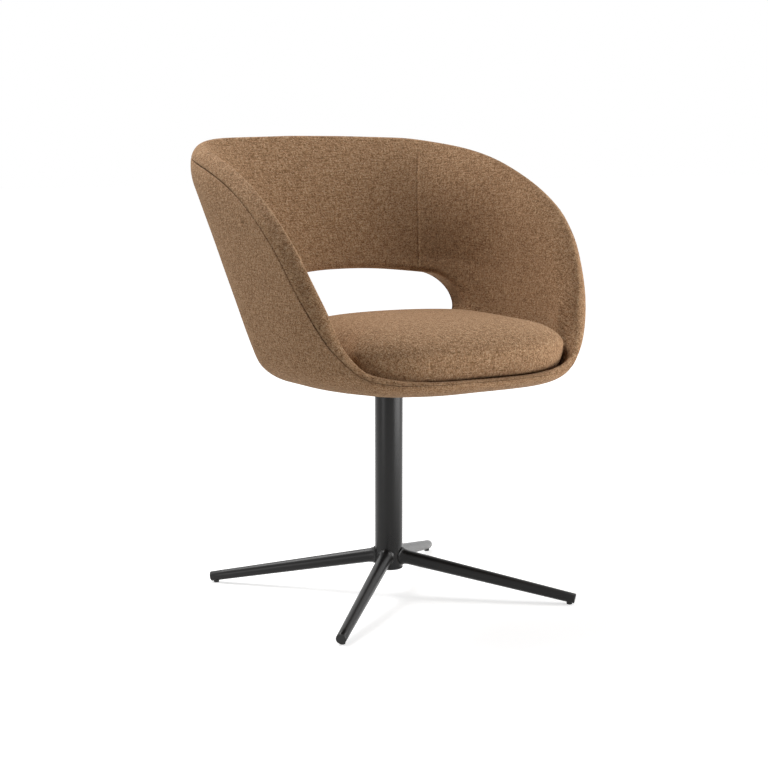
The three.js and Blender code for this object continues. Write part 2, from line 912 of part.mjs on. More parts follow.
const boardBottom = floorTop + gap;
const boardTop = boardBottom + boardThickness;
const cushionScrewPlaces = [-1, 1].flatMap((side) =>
  [cushionScrewRear, cushionScrewFront].map((ahead) => [side * cushionScrewX, -ahead]),
);
const cushionScrewSeat = coreOuterDepth + cushionScrewRecess;
const layerOpening = openingBar(facingThickness + gap);

function coreGeometry() {
  const bowl = bowlSolid(
    layerColumns(coreOuterDepth, 0, (station) => station.coreTop),
    layerColumns(coreInnerDepth, 0, (station) => station.coreTop),
    underCentre(coreOuterDepth),
    underCentre(coreInnerDepth),
  );
  const nutHoles = screwPlaces.map(([x, y]) =>
    revolve(
      [
        [0, 0],
        [teeBarrelRadius + gap, 0],
        [teeBarrelRadius + gap, teeFlangeBottom - gap],
        [teeFlangeRadius + gap, teeFlangeBottom - gap],
        [teeFlangeRadius + gap, floorTop + overrun],
        [0, floorTop + overrun],
      ],
      smallSides,
    ).translate(x, y, 0),
  );
  const screwHoles = cushionScrewPlaces.map(([x, y]) =>
    revolve(
      [
        [0, 0],
        [cushionScrewHeadRadius + gap, 0],
        [cushionScrewHeadRadius + gap, cushionScrewSeat],
        [cushionScrewRadius + gap, cushionScrewSeat],
        [cushionScrewRadius + gap, floorTop + overrun],
        [0, floorTop + overrun],
      ],
      smallSides,
    ).translate(x, y, 0),
  );
  return cut(bowl, [layerOpening, ...nutHoles, ...screwHoles]);
}

place(shell, "shell_core", coreGeometry(), plywood);
place(
  shell,
  "outer_cover",
  cut(ringSolid(coverColumns(0), coverColumns(coverThickness)), [layerOpening]),
  upholstery,
);
place(shell, "inner_pad", cut(padGeometry(), [layerOpening]), upholstery);

// The facing lines the opening through the whole wall.
function facingGeometry() {
  const outer = layerColumns(0, 1 / 2, (station) => station.coreTop).map((column, i) => [
    ...column,
    wallPoint(stations[i], mix(stations[i].coreTop, stations[i].seam, 1 / 2), 0),
    wallPoint(stations[i], stations[i].seam, 0),
  ]);
  const wall = solidOf(ringSolid(outer, liningColumns()));
  return geometryOf(
    wall.intersect(solidOf(openingBar(facingThickness))).subtract(solidOf(openingBar(0))),
  );
}

place(shell, "opening_facing", facingGeometry(), upholstery);

// A flat sheet inside the outline of the underside, this far in from it.
function flatSheet(inset, bottom, top) {
  const columns = stations.map(({ bearing: toward }) => {
    const low = outlineAt(toward, 0).addScaledVector(inwardAt(toward, 0), inset);
    low.z = bottom;
    const high = low.clone();
    high.z = top;
    return [low, high];
  });
  return cappedSolid(columns, underCentre(bottom), underCentre(top));
}

const dustTop = coreOuterDepth - gap;
place(
  shell,
  "dust_cover",
  cut(
    flatSheet(cornerInset + coverHem + gap, dustTop - dustCoverThickness, dustTop),
    screwPlaces.map(([x, y]) => rod(screwRadius + gap, 0, coreOuterDepth, smallSides).translate(x, y, 0)),
  ),
  felt,
);

// Seat cushion

const cushionBottom = boardTop + gap;

function cushionEdge(station, inset) {
  const level = Math.min(cornerRise, station.seam);
  return wallPoint(station, level, station.roll + cushionGap + inset);
}

// A point of the cushion's side. It stays clear of the lining, which draws in at its toe.
function cushionSidePoint(station, height, drawn, depth) {
  const drawnIn = cushionEdge(station, drawn + depth);
  const clear = liningPoint(station, Math.min(height, station.edge));
  clear.addScaledVector(inwardAt(station.bearing, station.edge), cushionToeGap + depth);
  const reach = (point) => Math.hypot(point.x, point.y - outlineCentreY);
  const point = reach(clear) < reach(drawnIn) ? clear : drawnIn;
  point.z = height;
  return point;
}

// The cushion's surface this far inside its skin, from the underside up.
function cushionColumnsAt(depth) {
  return stations.map((station) => {
    const side = cushionSideShares.map(([drawn, share]) => {
      const height = cushionBottom + Math.max(depth, share * cushionSide);
      return cushionSidePoint(station, height, cushionDrawIn * drawn, depth);
    });
    const edge = cushionEdge(station, depth);
    const crown = cushionCrownShares.map((out) => {
      const rise = Math.sqrt(1 - out ** crownPower);
      return new THREE.Vector3(
        edge.x * out,
        mix(cushionCentreY, edge.y, out),
        cushionBottom + cushionSide + (cushionCrown - depth) * rise,
      );
    });
    return [...side, ...crown];
  });
}

const cushionTop = (depth) =>
  new THREE.Vector3(0, cushionCentreY, cushionBottom + cushionSide + cushionCrown - depth);

function cushionCoverGeometry() {
  const hemAt = (height) =>
    stations.map(({ bearing: toward }) => {
      const inset = cornerInset + boardMargin + cushionHem;
      const point = outlineAt(toward, 0).addScaledVector(inwardAt(toward, 0), inset);
      point.z = height;
      return point;
    });
  const outer = cushionColumnsAt(0);
  const inner = cushionColumnsAt(cushionSkin);
  const outerHem = hemAt(cushionBottom);
  const innerHem = hemAt(cushionBottom + cushionSkin);
  return new RoundSurface()
    .sheet(outer.map((column, i) => [outerHem[i], ...column]))
    .fan(last(outer), cushionTop(0), true)
    .sheet(inner.map((column, i) => [innerHem[i], ...column]), true)
    .fan(last(inner), cushionTop(cushionSkin), false)
    .sheet(strip(outerHem, innerHem), true)
    .geometry();
}

const foamInset = cushionSkin + gap;
place(shell, "cushion_cover", cushionCoverGeometry(), upholstery);
place(
  shell,
  "cushion_foam",
  cappedSolid(
    cushionColumnsAt(foamInset),
    new THREE.Vector3(0, cushionCentreY, cushionBottom + foamInset),
    cushionTop(foamInset),
  ),
  foam,
);

const screwEnd = boardBottom + cushionScrewBite;
place(
  shell,
  "cushion_board",
  cut(
    flatSheet(cornerInset + boardMargin, boardBottom, boardTop),
    cushionScrewPlaces.map(([x, y]) =>
      rod(cushionScrewRadius + gap, floorTop, screwEnd + gap, smallSides).translate(x, y, 0),
    ),
  ),
  plywood,
);

const cushionScrewFace = cushionScrewSeat - gap;
const cushionScrewShape = revolve(
  [
    [0, cushionScrewFace - cushionScrewHead],
    [cushionScrewHeadRadius, cushionScrewFace - cushionScrewHead],
    [cushionScrewHeadRadius, cushionScrewFace],
    [cushionScrewRadius, cushionScrewFace],
    [cushionScrewRadius, screwEnd],
    [0, screwEnd],
  ],
  smallSides,
);
cushionScrewPlaces.forEach(([x, y], i) => {
  place(shell, `cushion_screw_${i + 1}`, cushionScrewShape, zincSteel).position.set(x, y, 0);
});

export default group;
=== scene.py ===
# %% [markdown]
# # A pedestal swivel armchair in brown woven fabric
# The chair is an upholstered bucket on a dark steel column with four splayed legs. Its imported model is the
# frame of this scene: it says where every part is and on which body it rides. This script makes the fabric,
# the padding and the finishes around that frame. All lengths here are metres, +Z is up and the front is -Y.

# %% Load the frame
import json
import math

import bmesh
import bpy
import numpy as np
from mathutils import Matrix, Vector, noise

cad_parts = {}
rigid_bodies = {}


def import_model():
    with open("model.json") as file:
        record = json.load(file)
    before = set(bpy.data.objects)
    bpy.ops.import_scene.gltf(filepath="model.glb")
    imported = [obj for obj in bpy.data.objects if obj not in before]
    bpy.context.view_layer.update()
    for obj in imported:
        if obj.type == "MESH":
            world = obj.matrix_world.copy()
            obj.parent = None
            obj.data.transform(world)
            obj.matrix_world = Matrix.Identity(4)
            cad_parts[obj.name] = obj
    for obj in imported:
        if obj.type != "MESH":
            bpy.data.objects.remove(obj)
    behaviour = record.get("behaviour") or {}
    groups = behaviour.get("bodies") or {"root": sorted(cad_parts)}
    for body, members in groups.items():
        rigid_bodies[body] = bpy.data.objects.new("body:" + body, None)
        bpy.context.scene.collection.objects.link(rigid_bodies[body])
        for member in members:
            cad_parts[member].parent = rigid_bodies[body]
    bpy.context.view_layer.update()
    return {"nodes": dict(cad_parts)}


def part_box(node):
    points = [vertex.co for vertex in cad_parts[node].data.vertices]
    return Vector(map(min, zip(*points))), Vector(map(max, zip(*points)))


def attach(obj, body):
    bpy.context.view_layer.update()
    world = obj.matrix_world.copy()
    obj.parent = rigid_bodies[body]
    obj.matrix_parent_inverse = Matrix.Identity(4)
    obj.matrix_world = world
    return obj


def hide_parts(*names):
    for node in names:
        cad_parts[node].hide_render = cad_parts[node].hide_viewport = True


for leftover in list(bpy.data.objects):
    bpy.data.objects.remove(leftover)

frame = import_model()

# %% [markdown]
# ## The camera
# The camera stands where it sees the chair as in its product picture: a little above the seat, to the left
# of the front. A long lens keeps the legs from spreading. It is turned by plain angles rather than aimed at
# an object, so that nothing in the scene can move it.

# %% Place the camera
camera_place = (-1.5664, -2.5362, 0.8045)
camera_heading = math.radians(-31.54)
camera_pitch = 0.145
camera_lens = 82.06
camera = bpy.data.objects.new("camera", bpy.data.cameras.new("camera"))
bpy.context.scene.collection.objects.link(camera)
camera.location = camera_place
camera.rotation_euler = (math.pi / 2 - camera_pitch, 0, camera_heading)
camera.data.lens = camera_lens
camera.data.dof.use_dof = False
bpy.context.scene.camera = camera
print("camera:", round(math.dist(camera_place, (0, 0, 0.4)), 2), "m from the chair")

# %% [markdown]
# ## A small language for finishes
# A finish is easier to read as arithmetic than as a drawing of nodes. The class Wire wraps one socket, and
# adding or multiplying two of them adds the Math node that does it. Every other node comes from one method,
# which takes the node's type, its settings and what goes into its sockets. The floor and the world, further
# down, use the same method.


# %% Wrap sockets and node trees
class Wire:
    """The output of one shader node, with arithmetic that adds Math nodes."""

    def __init__(self, nodes, socket):
        self.nodes = nodes
        self.socket = socket

    def math(self, operation, *others):
        return self.nodes.node("Math", {"operation": operation}, dict(enumerate((self, *others))))

    def __add__(self, other):
        return self.math("ADD", other)

    def __sub__(self, other):
        return self.math("SUBTRACT", other)

    def __mul__(self, other):
        return self.math("MULTIPLY", other)

    def __truediv__(self, other):
        return self.math("DIVIDE", other)

    def __rsub__(self, other):
        return self.nodes.node("Math", {"operation": "SUBTRACT"}, {0: other, 1: self})

    __radd__ = __add__
    __rmul__ = __mul__


class Nodes:
    """The nodes of a material or of the world."""

    def __init__(self, owner):
        owner.use_nodes = True
        self.tree = owner.node_tree

    def node(self, kind, settings, sockets, output=0):
        made = self.tree.nodes.new("ShaderNode" + kind)
        for name, value in settings.items():
            if name == "stops":
                self.set_stops(made.color_ramp, value)
            else:
                setattr(made, name, value)
        for key, value in sockets.items():
            self.fill(made.inputs[key], value)
        return Wire(self, made.outputs[output])

    def fill(self, socket, value):
        if isinstance(value, Wire):
            self.tree.links.new(value.socket, socket)
        else:
            socket.default_value = value

    def set_stops(self, ramp, stops):
        while len(ramp.elements) < len(stops):
            ramp.elements.new(1)
        for element, (position, colour) in zip(ramp.elements, stops):
            element.position = position
            element.color = colour

    def surface(self, shader):
        """Shows a shader in place of the one that the tree starts with."""
        output = next(node for node in self.tree.nodes if node.type.startswith("OUTPUT"))
        self.fill(output.inputs["Surface"], shader)


class Finish(Nodes):
    """One material: a Principled shader and the nodes that feed it."""

    def __init__(self, name, constants):
        self.material = bpy.data.materials.new(name)
        super().__init__(self.material)
        self.feed(constants)

    def feed(self, sockets):
        for name, value in sockets.items():
            self.fill(self.tree.nodes["Principled BSDF"].inputs[name], value)
        return self.material

    def place(self):
        return self.node("TexCoord", {}, {}, "Object")

    def part(self, vector, index):
        return self.node("SeparateXYZ", {}, {0: vector}, index)

    def vector(self, *parts):
        return self.node("CombineXYZ", {}, dict(enumerate(parts)))

    def noise(self, place, scale, detail=2):
        return self.node("TexNoise", {}, {"Vector": place, "Scale": scale, "Detail": detail})

    def blend(self, share, first, second, way="MIX"):
        settings = {"data_type": "RGBA", "blend_type": way}
        return self.node("Mix", settings, {0: share, 6: first, 7: second}, 2)

    def bump(self, height, strength, distance):
        return self.node("Bump", {}, {"Height": height, "Strength": strength, "Distance": distance})


def colour(red, green, blue):
    """A colour from its screen values, 0 to 255, as the linear numbers that a shader takes."""
    linear = [((part / 255 + 0.055) / 1.055) ** 2.4 for part in (red, green, blue)]
    return (*linear, 1)


print("finishes: helpers ready")

# %% [markdown]
# ## Woven upholstery fabric
# The cloth is a plain weave of melange yarn: each yarn changes between dark brown and tan along its length,
# so from a step away the cloth looks flecked, not striped. A picture of cloth would repeat and blur, so the
# yarns are worked out instead. The place in the cloth comes from a map called weave, in metres: its first
# number counts the yarns that run up, its second those that run across.

# %% Make the fabric
yarn_pitch = 0.0015
yarn_shift = 3.7
fleck_stretch = 0.35
streak_stretch = 0.08
streak_width = 0.6
yarn_share = 0.75
slub_share = 0.1
streak_share = 0.2
darker = 0.125
tint_share = 0.6
# Painted shade: how much darker the grooves between the yarns are made.
painted_groove_shade = 0.4
slub_relief = 0.6


def make_woven_fabric():
    finish = Finish(
        "woven_fabric",
        {
            "Roughness": 0.92,
            "Specular IOR Level": 0.2,
            "Sheen Weight": 0.12,
            "Sheen Roughness": 0.4,
            "Sheen Tint": colour(205, 180, 150),
        },
    )
    cloth = finish.node("UVMap", {"uv_map": "weave"}, {})
    along = finish.part(cloth, 0) / yarn_pitch
    up = finish.part(cloth, 1) / yarn_pitch
    warp_number = along.math("FLOOR")
    weft_number = up.math("FLOOR")
    warp_on_top = ((warp_number + weft_number) / 2).math("FRACT") * 2
    warp_round = (along * math.pi).math("SINE").math("ABSOLUTE")
    weft_round = (up * math.pi).math("SINE").math("ABSOLUTE")
    height = warp_round * warp_on_top + weft_round * (1 - warp_on_top)
    warp_tone = finish.noise(finish.vector(warp_number * yarn_shift, up * fleck_stretch), 1.0, 1)
    weft_tone = finish.noise(finish.vector(along * fleck_stretch, weft_number * yarn_shift, 7.0), 1.0, 1)
    yarn_tone = weft_tone + (warp_tone - weft_tone) * warp_on_top
    slub = finish.noise(cloth, 330, 2)
    warp_streak = finish.noise(finish.vector(along * streak_width, up * streak_stretch), 1.0, 1)
    weft_streak = finish.noise(finish.vector(along * streak_stretch, up * streak_width), 1.0, 1)
    streaks = (warp_streak + weft_streak) * streak_share
    tone = yarn_tone * yarn_share + slub * slub_share + streaks - darker
    stops = [
        (0.34, colour(112, 85, 60)),
        (0.45, colour(152, 121, 92)),
        (0.55, colour(179, 147, 116)),
        (0.68, colour(212, 183, 150)),
    ]
    shade = finish.node("ValToRGB", {"stops": stops}, {0: tone})
    tint = finish.blend(finish.noise(cloth, 210, 1), colour(255, 226, 196), colour(232, 238, 236))
    tinted = finish.blend(tint_share, shade, tint, "MULTIPLY")
    # Painted shade in the weave's grooves, deepest where a yarn dips under its neighbour.
    shaded = finish.blend((1 - height) * painted_groove_shade, tinted, colour(130, 108, 86), "MULTIPLY")
    relief = finish.bump(height + slub * slub_relief, 0.35, 0.0003)
    return finish.feed({"Base Color": shaded, "Normal": relief})


fabric = make_woven_fabric()
print("fabric: yarns every", yarn_pitch * 1000, "mm")

# %% [markdown]
# ## Powder coat, plastic and bare metals
# The column and the legs have a satin black powder coat, which is never quite smooth: its fine grain breaks
# up the edges of the highlights. The plugs and feet are duller black plastic. The parts of the swivel are
# turned and zinc plated steel. One function makes them all, because they differ only in numbers.


# %% Make the hard finishes
def make_hard_finish(
    name, dark, light, roughness, metallic=0.0, shine=0.4, grain=0.0007, relief=0.00003, ring=None
):
    """grain is the size of the surface's grain, and ring the distance between a lathe's lines, if any."""
    finish = Finish(name, {"Metallic": metallic, "Specular IOR Level": shine})
    place = finish.place()
    fine = finish.noise(place, 1 / grain, 2)
    broad = finish.noise(place, 14, 3)
    tone = finish.blend(broad, dark, light)
    rough = roughness + (broad - 0.5) * 0.12 + (fine - 0.5) * 0.06
    height = fine
    if ring is not None:
        lines = (finish.part(place, 2) * (2 * math.pi / ring)).math("SINE")
        height = fine * 0.4 + lines * 0.3
    return finish.feed({"Base Color": tone, "Roughness": rough, "Normal": finish.bump(height, 0.4, relief)})


powder_coat = make_hard_finish("black_steel", colour(20, 19, 19), colour(26, 25, 24), 0.3, shine=0.27)
black_plastic = make_hard_finish(
    "black_plastic", colour(24, 24, 24), colour(32, 31, 30), 0.55, grain=0.0004
)
turned_steel = make_hard_finish(
    "turned_steel", colour(150, 152, 154), colour(176, 178, 180), 0.32, 1.0, ring=0.0006, relief=0.00002
)
zinc_steel = make_hard_finish("zinc_steel", colour(176, 178, 172), colour(200, 200, 192), 0.38, 1.0)
nylon = make_hard_finish("bushing_nylon", colour(203, 200, 190), colour(219, 216, 207), 0.5)
print("hard finishes: 5")

# %% [markdown]
# ## Felt, plywood and foam
# Under the bucket a black dust sheet of needled felt covers the screws. The bucket's core is moulded from
# thin layers of veneer, and the cushion is cut from cream foam. Both are hidden, but they get their own
# finish all the same, because the chair can be taken apart.


# %% Make the hidden finishes
def make_felt():
    finish = Finish("dust_felt", {"Roughness": 0.97, "Specular IOR Level": 0.1, "Sheen Weight": 0.15})
    fibres = finish.noise(finish.place(), 900, 6)
    tone = finish.blend(fibres, colour(22, 21, 21), colour(54, 52, 50))
    return finish.feed({"Base Color": tone, "Normal": finish.bump(fibres, 0.6, 0.0003)})


def make_moulded_ply():
    finish = Finish("moulded_ply", {"Specular IOR Level": 0.3})
    place = finish.place()
    bend = finish.noise(place, 9, 2) * 9
    grain = finish.node("TexWave", {}, {"Vector": place, "Scale": 40.0, "Distortion": bend, "Detail": 3.0})
    tone = finish.blend(grain, colour(186, 150, 106), colour(214, 182, 138))
    return finish.feed({"Base Color": tone, "Roughness": 0.55 + grain * 0.15})


def make_foam():
    finish = Finish("soft_foam", {"Roughness": 0.95, "Specular IOR Level": 0.1})
    cells = finish.node("TexVoronoi", {}, {"Vector": finish.place(), "Scale": 700.0})
    tone = finish.blend(cells, colour(224, 212, 172), colour(240, 232, 202))
    return finish.feed({"Base Color": tone, "Normal": finish.bump(cells, 0.5, 0.0004)})


finish_of_slot = {
    "woven_fabric": fabric,
    "black_steel": powder_coat,
    "turned_steel": turned_steel,
    "zinc_steel": zinc_steel,
    "black_plastic": black_plastic,
    "bushing_nylon": nylon,
    "dust_felt": make_felt(),
    "moulded_ply": make_moulded_ply(),
    "soft_foam": make_foam(),
}
print("finishes in all:", len(finish_of_slot))

# %% [markdown]
# ## Surfaces made of sheets
# The upholstery is one continuous surface with a hole in it. It is built from sheets of quads whose points
# come from formulas, because a formula keeps the curves fair where a boolean cut would leave ragged edges.
# The class collects the sheets, with each corner's place in the weave, and then makes one mesh of them.


# %% Collect sheets into a mesh
class Skin:
    """Sheets of quads that share points, and the place of every corner in the weave."""

    def __init__(self):
        self.points = np.zeros((0, 3))
        self.dents = np.zeros(0)
        self.corners = np.zeros((0, 4), int)
        self.weave = np.zeros((0, 4, 2))

    def add(self, grid, dents=0.0):
        """Takes a grid of points and gives the grid of their numbers."""
        flat = grid.reshape(-1, 3)
        numbers = len(self.points) + np.arange(len(flat)).reshape(grid.shape[:2])
        self.points = np.vstack([self.points, flat])
        self.dents = np.append(self.dents, np.broadcast_to(dents, grid.shape[:2]).ravel())
        return numbers

    def sheet(self, numbers, weave, close=None):
        """Joins a grid of numbered points by quads. close is how far the weave shifts where it closes."""
        if close is not None:
            numbers = np.hstack([numbers, numbers[:, :1]])
            weave = np.hstack([weave, weave[:, :1] + np.array(close)])
        quads = np.stack([numbers[:-1, :-1], numbers[:-1, 1:], numbers[1:, 1:], numbers[1:, :-1]], -1)
        places = np.stack([weave[:-1, :-1], weave[:-1, 1:], weave[1:, 1:], weave[1:, :-1]], -2)
        self.corners = np.vstack([self.corners, quads.reshape(-1, 4)])
        self.weave = np.vstack([self.weave, places.reshape(-1, 4, 2)])

    def mesh(self, name, outward):
        """Makes the mesh. outward is True if its first quad should face away from the chair's axis."""
        used, corners = np.unique(self.corners, return_inverse=True)
        corners = corners.reshape(-1, 4)
        points = self.points[used]
        mesh = bpy.data.meshes.new(name)
        a, b, c = (points[corners[0, i]] for i in range(3))
        away = np.dot(np.cross(b - a, c - b)[:2], a[:2]) > 0
        turned = slice(None) if away == outward else slice(None, None, -1)
        mesh.from_pydata(points.tolist(), [], corners[:, turned].tolist())
        weave = mesh.uv_layers.new(name="weave")
        weave.data.foreach_set("uv", self.weave[:, turned].ravel())
        mesh.polygons.foreach_set("use_smooth", [True] * len(mesh.polygons))
        mesh.update()
        press(mesh, self.dents[used])
        return mesh


def unit(vector):
    return vector / np.linalg.norm(vector, axis=-1, keepdims=True)


unevenness = 0.0006
unevenness_scale = 13


def press(mesh, dents):
    """Moves each point in by its dent, and out and in a little as hand-stretched fabric does."""
    for vertex, normal, dent in zip(mesh.vertices, [n.vector.copy() for n in mesh.vertex_normals], dents):
        wave = noise.noise(vertex.co * unevenness_scale) * unevenness
        vertex.co += normal * (wave - float(dent))
    mesh.update()


def unfold(grid, start, going, slant=0.0):
    """The weave of a grid's rows, one after another from that of its first row.

    going is 1 where the rows go up in the weave and -1 where they go down, and slant is how far their way
    turns from straight up."""
    lengths = np.linalg.norm(np.diff(grid, axis=0), axis=2) * going
    moves = np.stack([-lengths * np.sin(slant), lengths * np.cos(slant)], -1)
    return np.concatenate([start[None], start + np.cumsum(moves, axis=0)])


def soften(grid, weight, rounds):
    """Smooths the columns of a grid. weight says how much each point may move."""
    for _ in range(rounds):
        middle = (grid[:-2] + grid[2:]) / 2
        grid[1:-1] += (middle - grid[1:-1]) * weight[1:-1, :, None]


def show(name, mesh, body, slot, stands_for):
    """Puts a mesh in the scene as a piece that rides on a body, in the finish of its slot."""
    piece = bpy.data.objects.new(name, mesh)
    bpy.context.scene.collection.objects.link(piece)
    piece.data.materials.append(finish_of_slot[slot])
    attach(piece, body)
    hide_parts(*stands_for)
    return piece


def thicken(piece, thickness):
    """Gives a skin its thickness, on its hidden side."""
    shell = piece.modifiers.new("thickness", "SOLIDIFY")
    shell.thickness = thickness
    shell.offset = -1


print("skins: helpers ready")

# %% [markdown]
# ## The outline of the bucket
# Seen from above, the bucket is a rounded form that widens and leans back as it rises. A superellipse gives
# that shape with one number for how square its corners are. The seam under the rim climbs from the low
# front lip to the high back, along a curve through a few points that never overshoots them. These are the
# same formulas as the frame's, so the fabric lies on it. The padding is softer than the frame: it is fuller
# in the rear corners, and the roll along the rim is at its full width sooner.

# %% Say how the bucket is shaped
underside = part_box("outer_cover")[0].z
centre_y = -0.03
outline_height = 0.385
outline_foot = 0.001
highest_rise = 1.2
half_width_low = 0.19
half_width_gain = 0.116
half_width_power = 0.245
back_reach_low = 0.131
back_reach_gain = 0.216
back_reach_power = 1.13
back_squareness_low = 1.9
back_squareness_gain = 2.1
back_squareness_power = 1.3
front_squareness = 3.1
front_reach = 0.275
front_lean = 0.52
lip_height = 0.025
crest_height = 0.383
rim_shares = [
    (0, 0), (30, 0.005), (40, 0.025), (50, 0.14), (60, 0.35), (70, 0.56),
    (80, 0.69), (100, 0.835), (120, 0.925), (135, 0.965), (150, 0.99), (180, 1),
]
roll_climb = 0.148
roll_widening = 0.1
roll_width_low = 0.017
roll_width_high = 0.044
crown_low = 0.0037
crown_high = 0.022
crown_swell = 0.005
crown_swell_bearing = 38
crown_swell_spread = 12
curl_reach = 0.012
curl_depth = 0.045
curl_from = 0.254
curl_climb = 0.11
corner_inset = 0.05
corner_rise = 0.044
corner_share = 0.8
corner_bulge = 0.026
corner_bulge_bearing = 126
corner_bulge_spread = 23
back_bulge = 0.008
back_bulge_from = 95
back_bulge_ramp = 40
bulge_foot = 0.185
bulge_climb = 0.13
print("bucket: rim from", lip_height, "to", crest_height, "m above its underside at", round(underside, 4))

# %% [markdown]
# ## Curves round the bucket
# Everything about the bucket is a function of the bearing, which goes round from the front, and of the
# height. Small functions are easier to check than one big mesh: each can be plotted or printed alone.

# %% Work out the outline
bearing_step = 2e-3


def mix(a, b, share):
    return a + (b - a) * share


def ease(value):
    share = np.clip(value, 0, 1)
    return share * share * (3 - 2 * share)


def level_curve(knots):
    """A curve through its knots that never overshoots them and is level at both ends."""
    x, y = np.array(knots, float).T
    span = np.diff(x)
    slope = np.maximum(np.diff(y) / span, 1e-9)
    before, after = 2 * span[1:] + span[:-1], span[1:] + 2 * span[:-1]
    tangent = np.concatenate([[0], (before + after) / (before / slope[:-1] + after / slope[1:]), [0]])

    def curve(at):
        i = np.clip(np.searchsorted(x, at) - 1, 0, len(span) - 1)
        t = (at - x[i]) / span[i]
        bend = tangent[i] * t * (1 - t) ** 2 - tangent[i + 1] * t * t * (1 - t)
        return mix(y[i], y[i + 1], ease(t)) + bend * span[i]

    return curve


rim_share_at = level_curve(rim_shares)


def from_front(bearing):
    """Degrees from the front lip, alike on both sides."""
    return np.abs((np.degrees(bearing) + 180) % 360 - 180)


def seam_at(bearing):
    return mix(lip_height, crest_height, rim_share_at(from_front(bearing)))


def growth_at(bearing):
    """0 at the front lip and 1 where the roll has its full height."""
    return ease((seam_at(bearing) - lip_height) / roll_climb)


def roll_at(bearing):
    """The roll's width."""
    return mix(roll_width_low, roll_width_high, ease((seam_at(bearing) - lip_height) / roll_widening))


def crown_at(bearing):
    """The roll's height over the seam. It is a little fuller where the arms begin to climb."""
    fuller = np.exp(-(((from_front(bearing) - crown_swell_bearing) / crown_swell_spread) ** 2))
    return mix(crown_low, crown_high, growth_at(bearing)) + crown_swell * fuller


def edge_at(bearing):
    """The height of the bucket's rounded lower edge."""
    return np.minimum(corner_rise, corner_share * seam_at(bearing))


def bulge_at(bearing, height):
    """How much thicker than the roll the padding is round the upper back, most of all in its corners."""
    turned = from_front(bearing)
    corner = corner_bulge * np.exp(-(((turned - corner_bulge_bearing) / corner_bulge_spread) ** 2))
    back = back_bulge * ease((turned - back_bulge_from) / back_bulge_ramp)
    return (corner + back) * ease((height - bulge_foot) / bulge_climb)


def outline_at(bearing, height):
    rise = np.clip((height + outline_foot) / outline_height, 0, highest_rise)
    sideways, backwards = np.sin(bearing), -np.cos(bearing)
    behind = back_reach_low + back_reach_gain * rise**back_reach_power
    reach = np.where(backwards > 0, behind, front_reach + front_lean * (height - lip_height))
    square_behind = back_squareness_low + back_squareness_gain * rise**back_squareness_power
    squareness = np.where(backwards > 0, square_behind, front_squareness)
    across = np.abs(sideways) / (half_width_low + half_width_gain * rise**half_width_power)
    radius = (across**squareness + (np.abs(backwards) / reach) ** squareness) ** (-1 / squareness)
    height = np.broadcast_to(height, radius.shape)
    return np.stack([radius * sideways, centre_y + radius * backwards, height], -1)


def inward_at(bearing, height):
    along = outline_at(bearing + bearing_step, height) - outline_at(bearing - bearing_step, height)
    return unit(np.stack([-along[..., 1], along[..., 0], np.zeros_like(along[..., 0])], -1))


print("seam at the sides:", round(float(seam_at(math.pi / 2)), 4), "m above the underside")

# %% [markdown]
# ## Points on the wall, the rounded edge and the roll
# Three functions give every point of the upholstery. The wall stands on a rounded edge and carries a fat
# roll along its rim, and near the top the wall leans in again. Each takes how deep the point lies behind
# the outer face, so that inside and outside use the same functions.


# %% Find points of the bucket
def curl_at(seam, level):
    """How far the wall leans in again near the seam."""
    lean = np.clip((level - seam) / curl_depth + 1, 0, 1) ** 2
    return curl_reach * ease((seam - curl_from) / curl_climb) * lean


def wall_point(bearing, height, depth):
    bearing, height, depth = np.broadcast_arrays(bearing, height, depth)
    seam = seam_at(bearing)
    level = np.minimum(height, seam)
    depth = depth + curl_at(seam, level)
    point = outline_at(bearing, level) + inward_at(bearing, level) * depth[..., None]
    point[..., 2] = height
    return point


def edge_point(bearing, turn, depth):
    bearing, turn = np.broadcast_arrays(bearing, turn)
    edge = edge_at(bearing)
    level = edge * (1 - np.cos(turn))
    inset = corner_inset - (corner_inset - depth) * np.sin(turn)
    point = outline_at(bearing, level) + inward_at(bearing, level) * inset[..., None]
    point[..., 2] = edge - (edge - depth) * np.cos(turn)
    return point


roll_start = math.radians(20)
roll_middle = math.cos(roll_start) / (math.cos(roll_start) + 1)
roll_tuck = 0.6


def roll_frame(bearing):
    """The seam's point, and the directions across the roll and up from it."""
    before, after = bearing - bearing_step, bearing + bearing_step
    along = unit(wall_point(after, seam_at(after), 0) - wall_point(before, seam_at(before), 0))
    inward = inward_at(bearing, seam_at(bearing))
    inward = unit(inward - along * np.sum(inward * along, -1, keepdims=True))
    upward = np.cross(inward, along)
    upward *= np.sign(upward[..., 2:])
    return wall_point(bearing, seam_at(bearing), 0), inward, upward


def roll_point(bearing, turn):
    bearing, turn = np.broadcast_arrays(bearing, turn)
    seam_point, inward, upward = roll_frame(bearing)
    across = (math.cos(roll_start) - np.cos(turn)) / (math.cos(roll_start) + 1)
    outer_rise = (np.sin(turn) - math.sin(roll_start)) / (1 - math.sin(roll_start))
    inner_rise = np.sin(turn) * (1 + roll_tuck) - roll_tuck
    rise = np.where(turn < math.pi / 2, outer_rise, inner_rise)
    inner_share = np.clip(across / roll_middle - 1, 0, None) / (1 / roll_middle - 1)
    depth = across * roll_at(bearing) + inner_share * bulge_at(bearing, seam_at(bearing))
    sideways = inward * depth[..., None]
    return seam_point + sideways + upward * (rise * crown_at(bearing))[..., None]


def raised(points):
    """Heights above the underside become heights above the floor."""
    return points + np.array([0, 0, underside])


print("crest of the roll:", round(float(raised(roll_point(math.pi, math.pi / 2))[..., 2]), 4), "m")

# %% [markdown]
# ## The opening in the lower back
# The opening is a flat shape pushed straight through the back: rounded ends, a level lower edge and a top
# edge that bows up. Its outline is followed from the middle of the lower edge round to the middle of the
# top edge, and it can be grown by a given amount, which rounds the fabric over its edges.

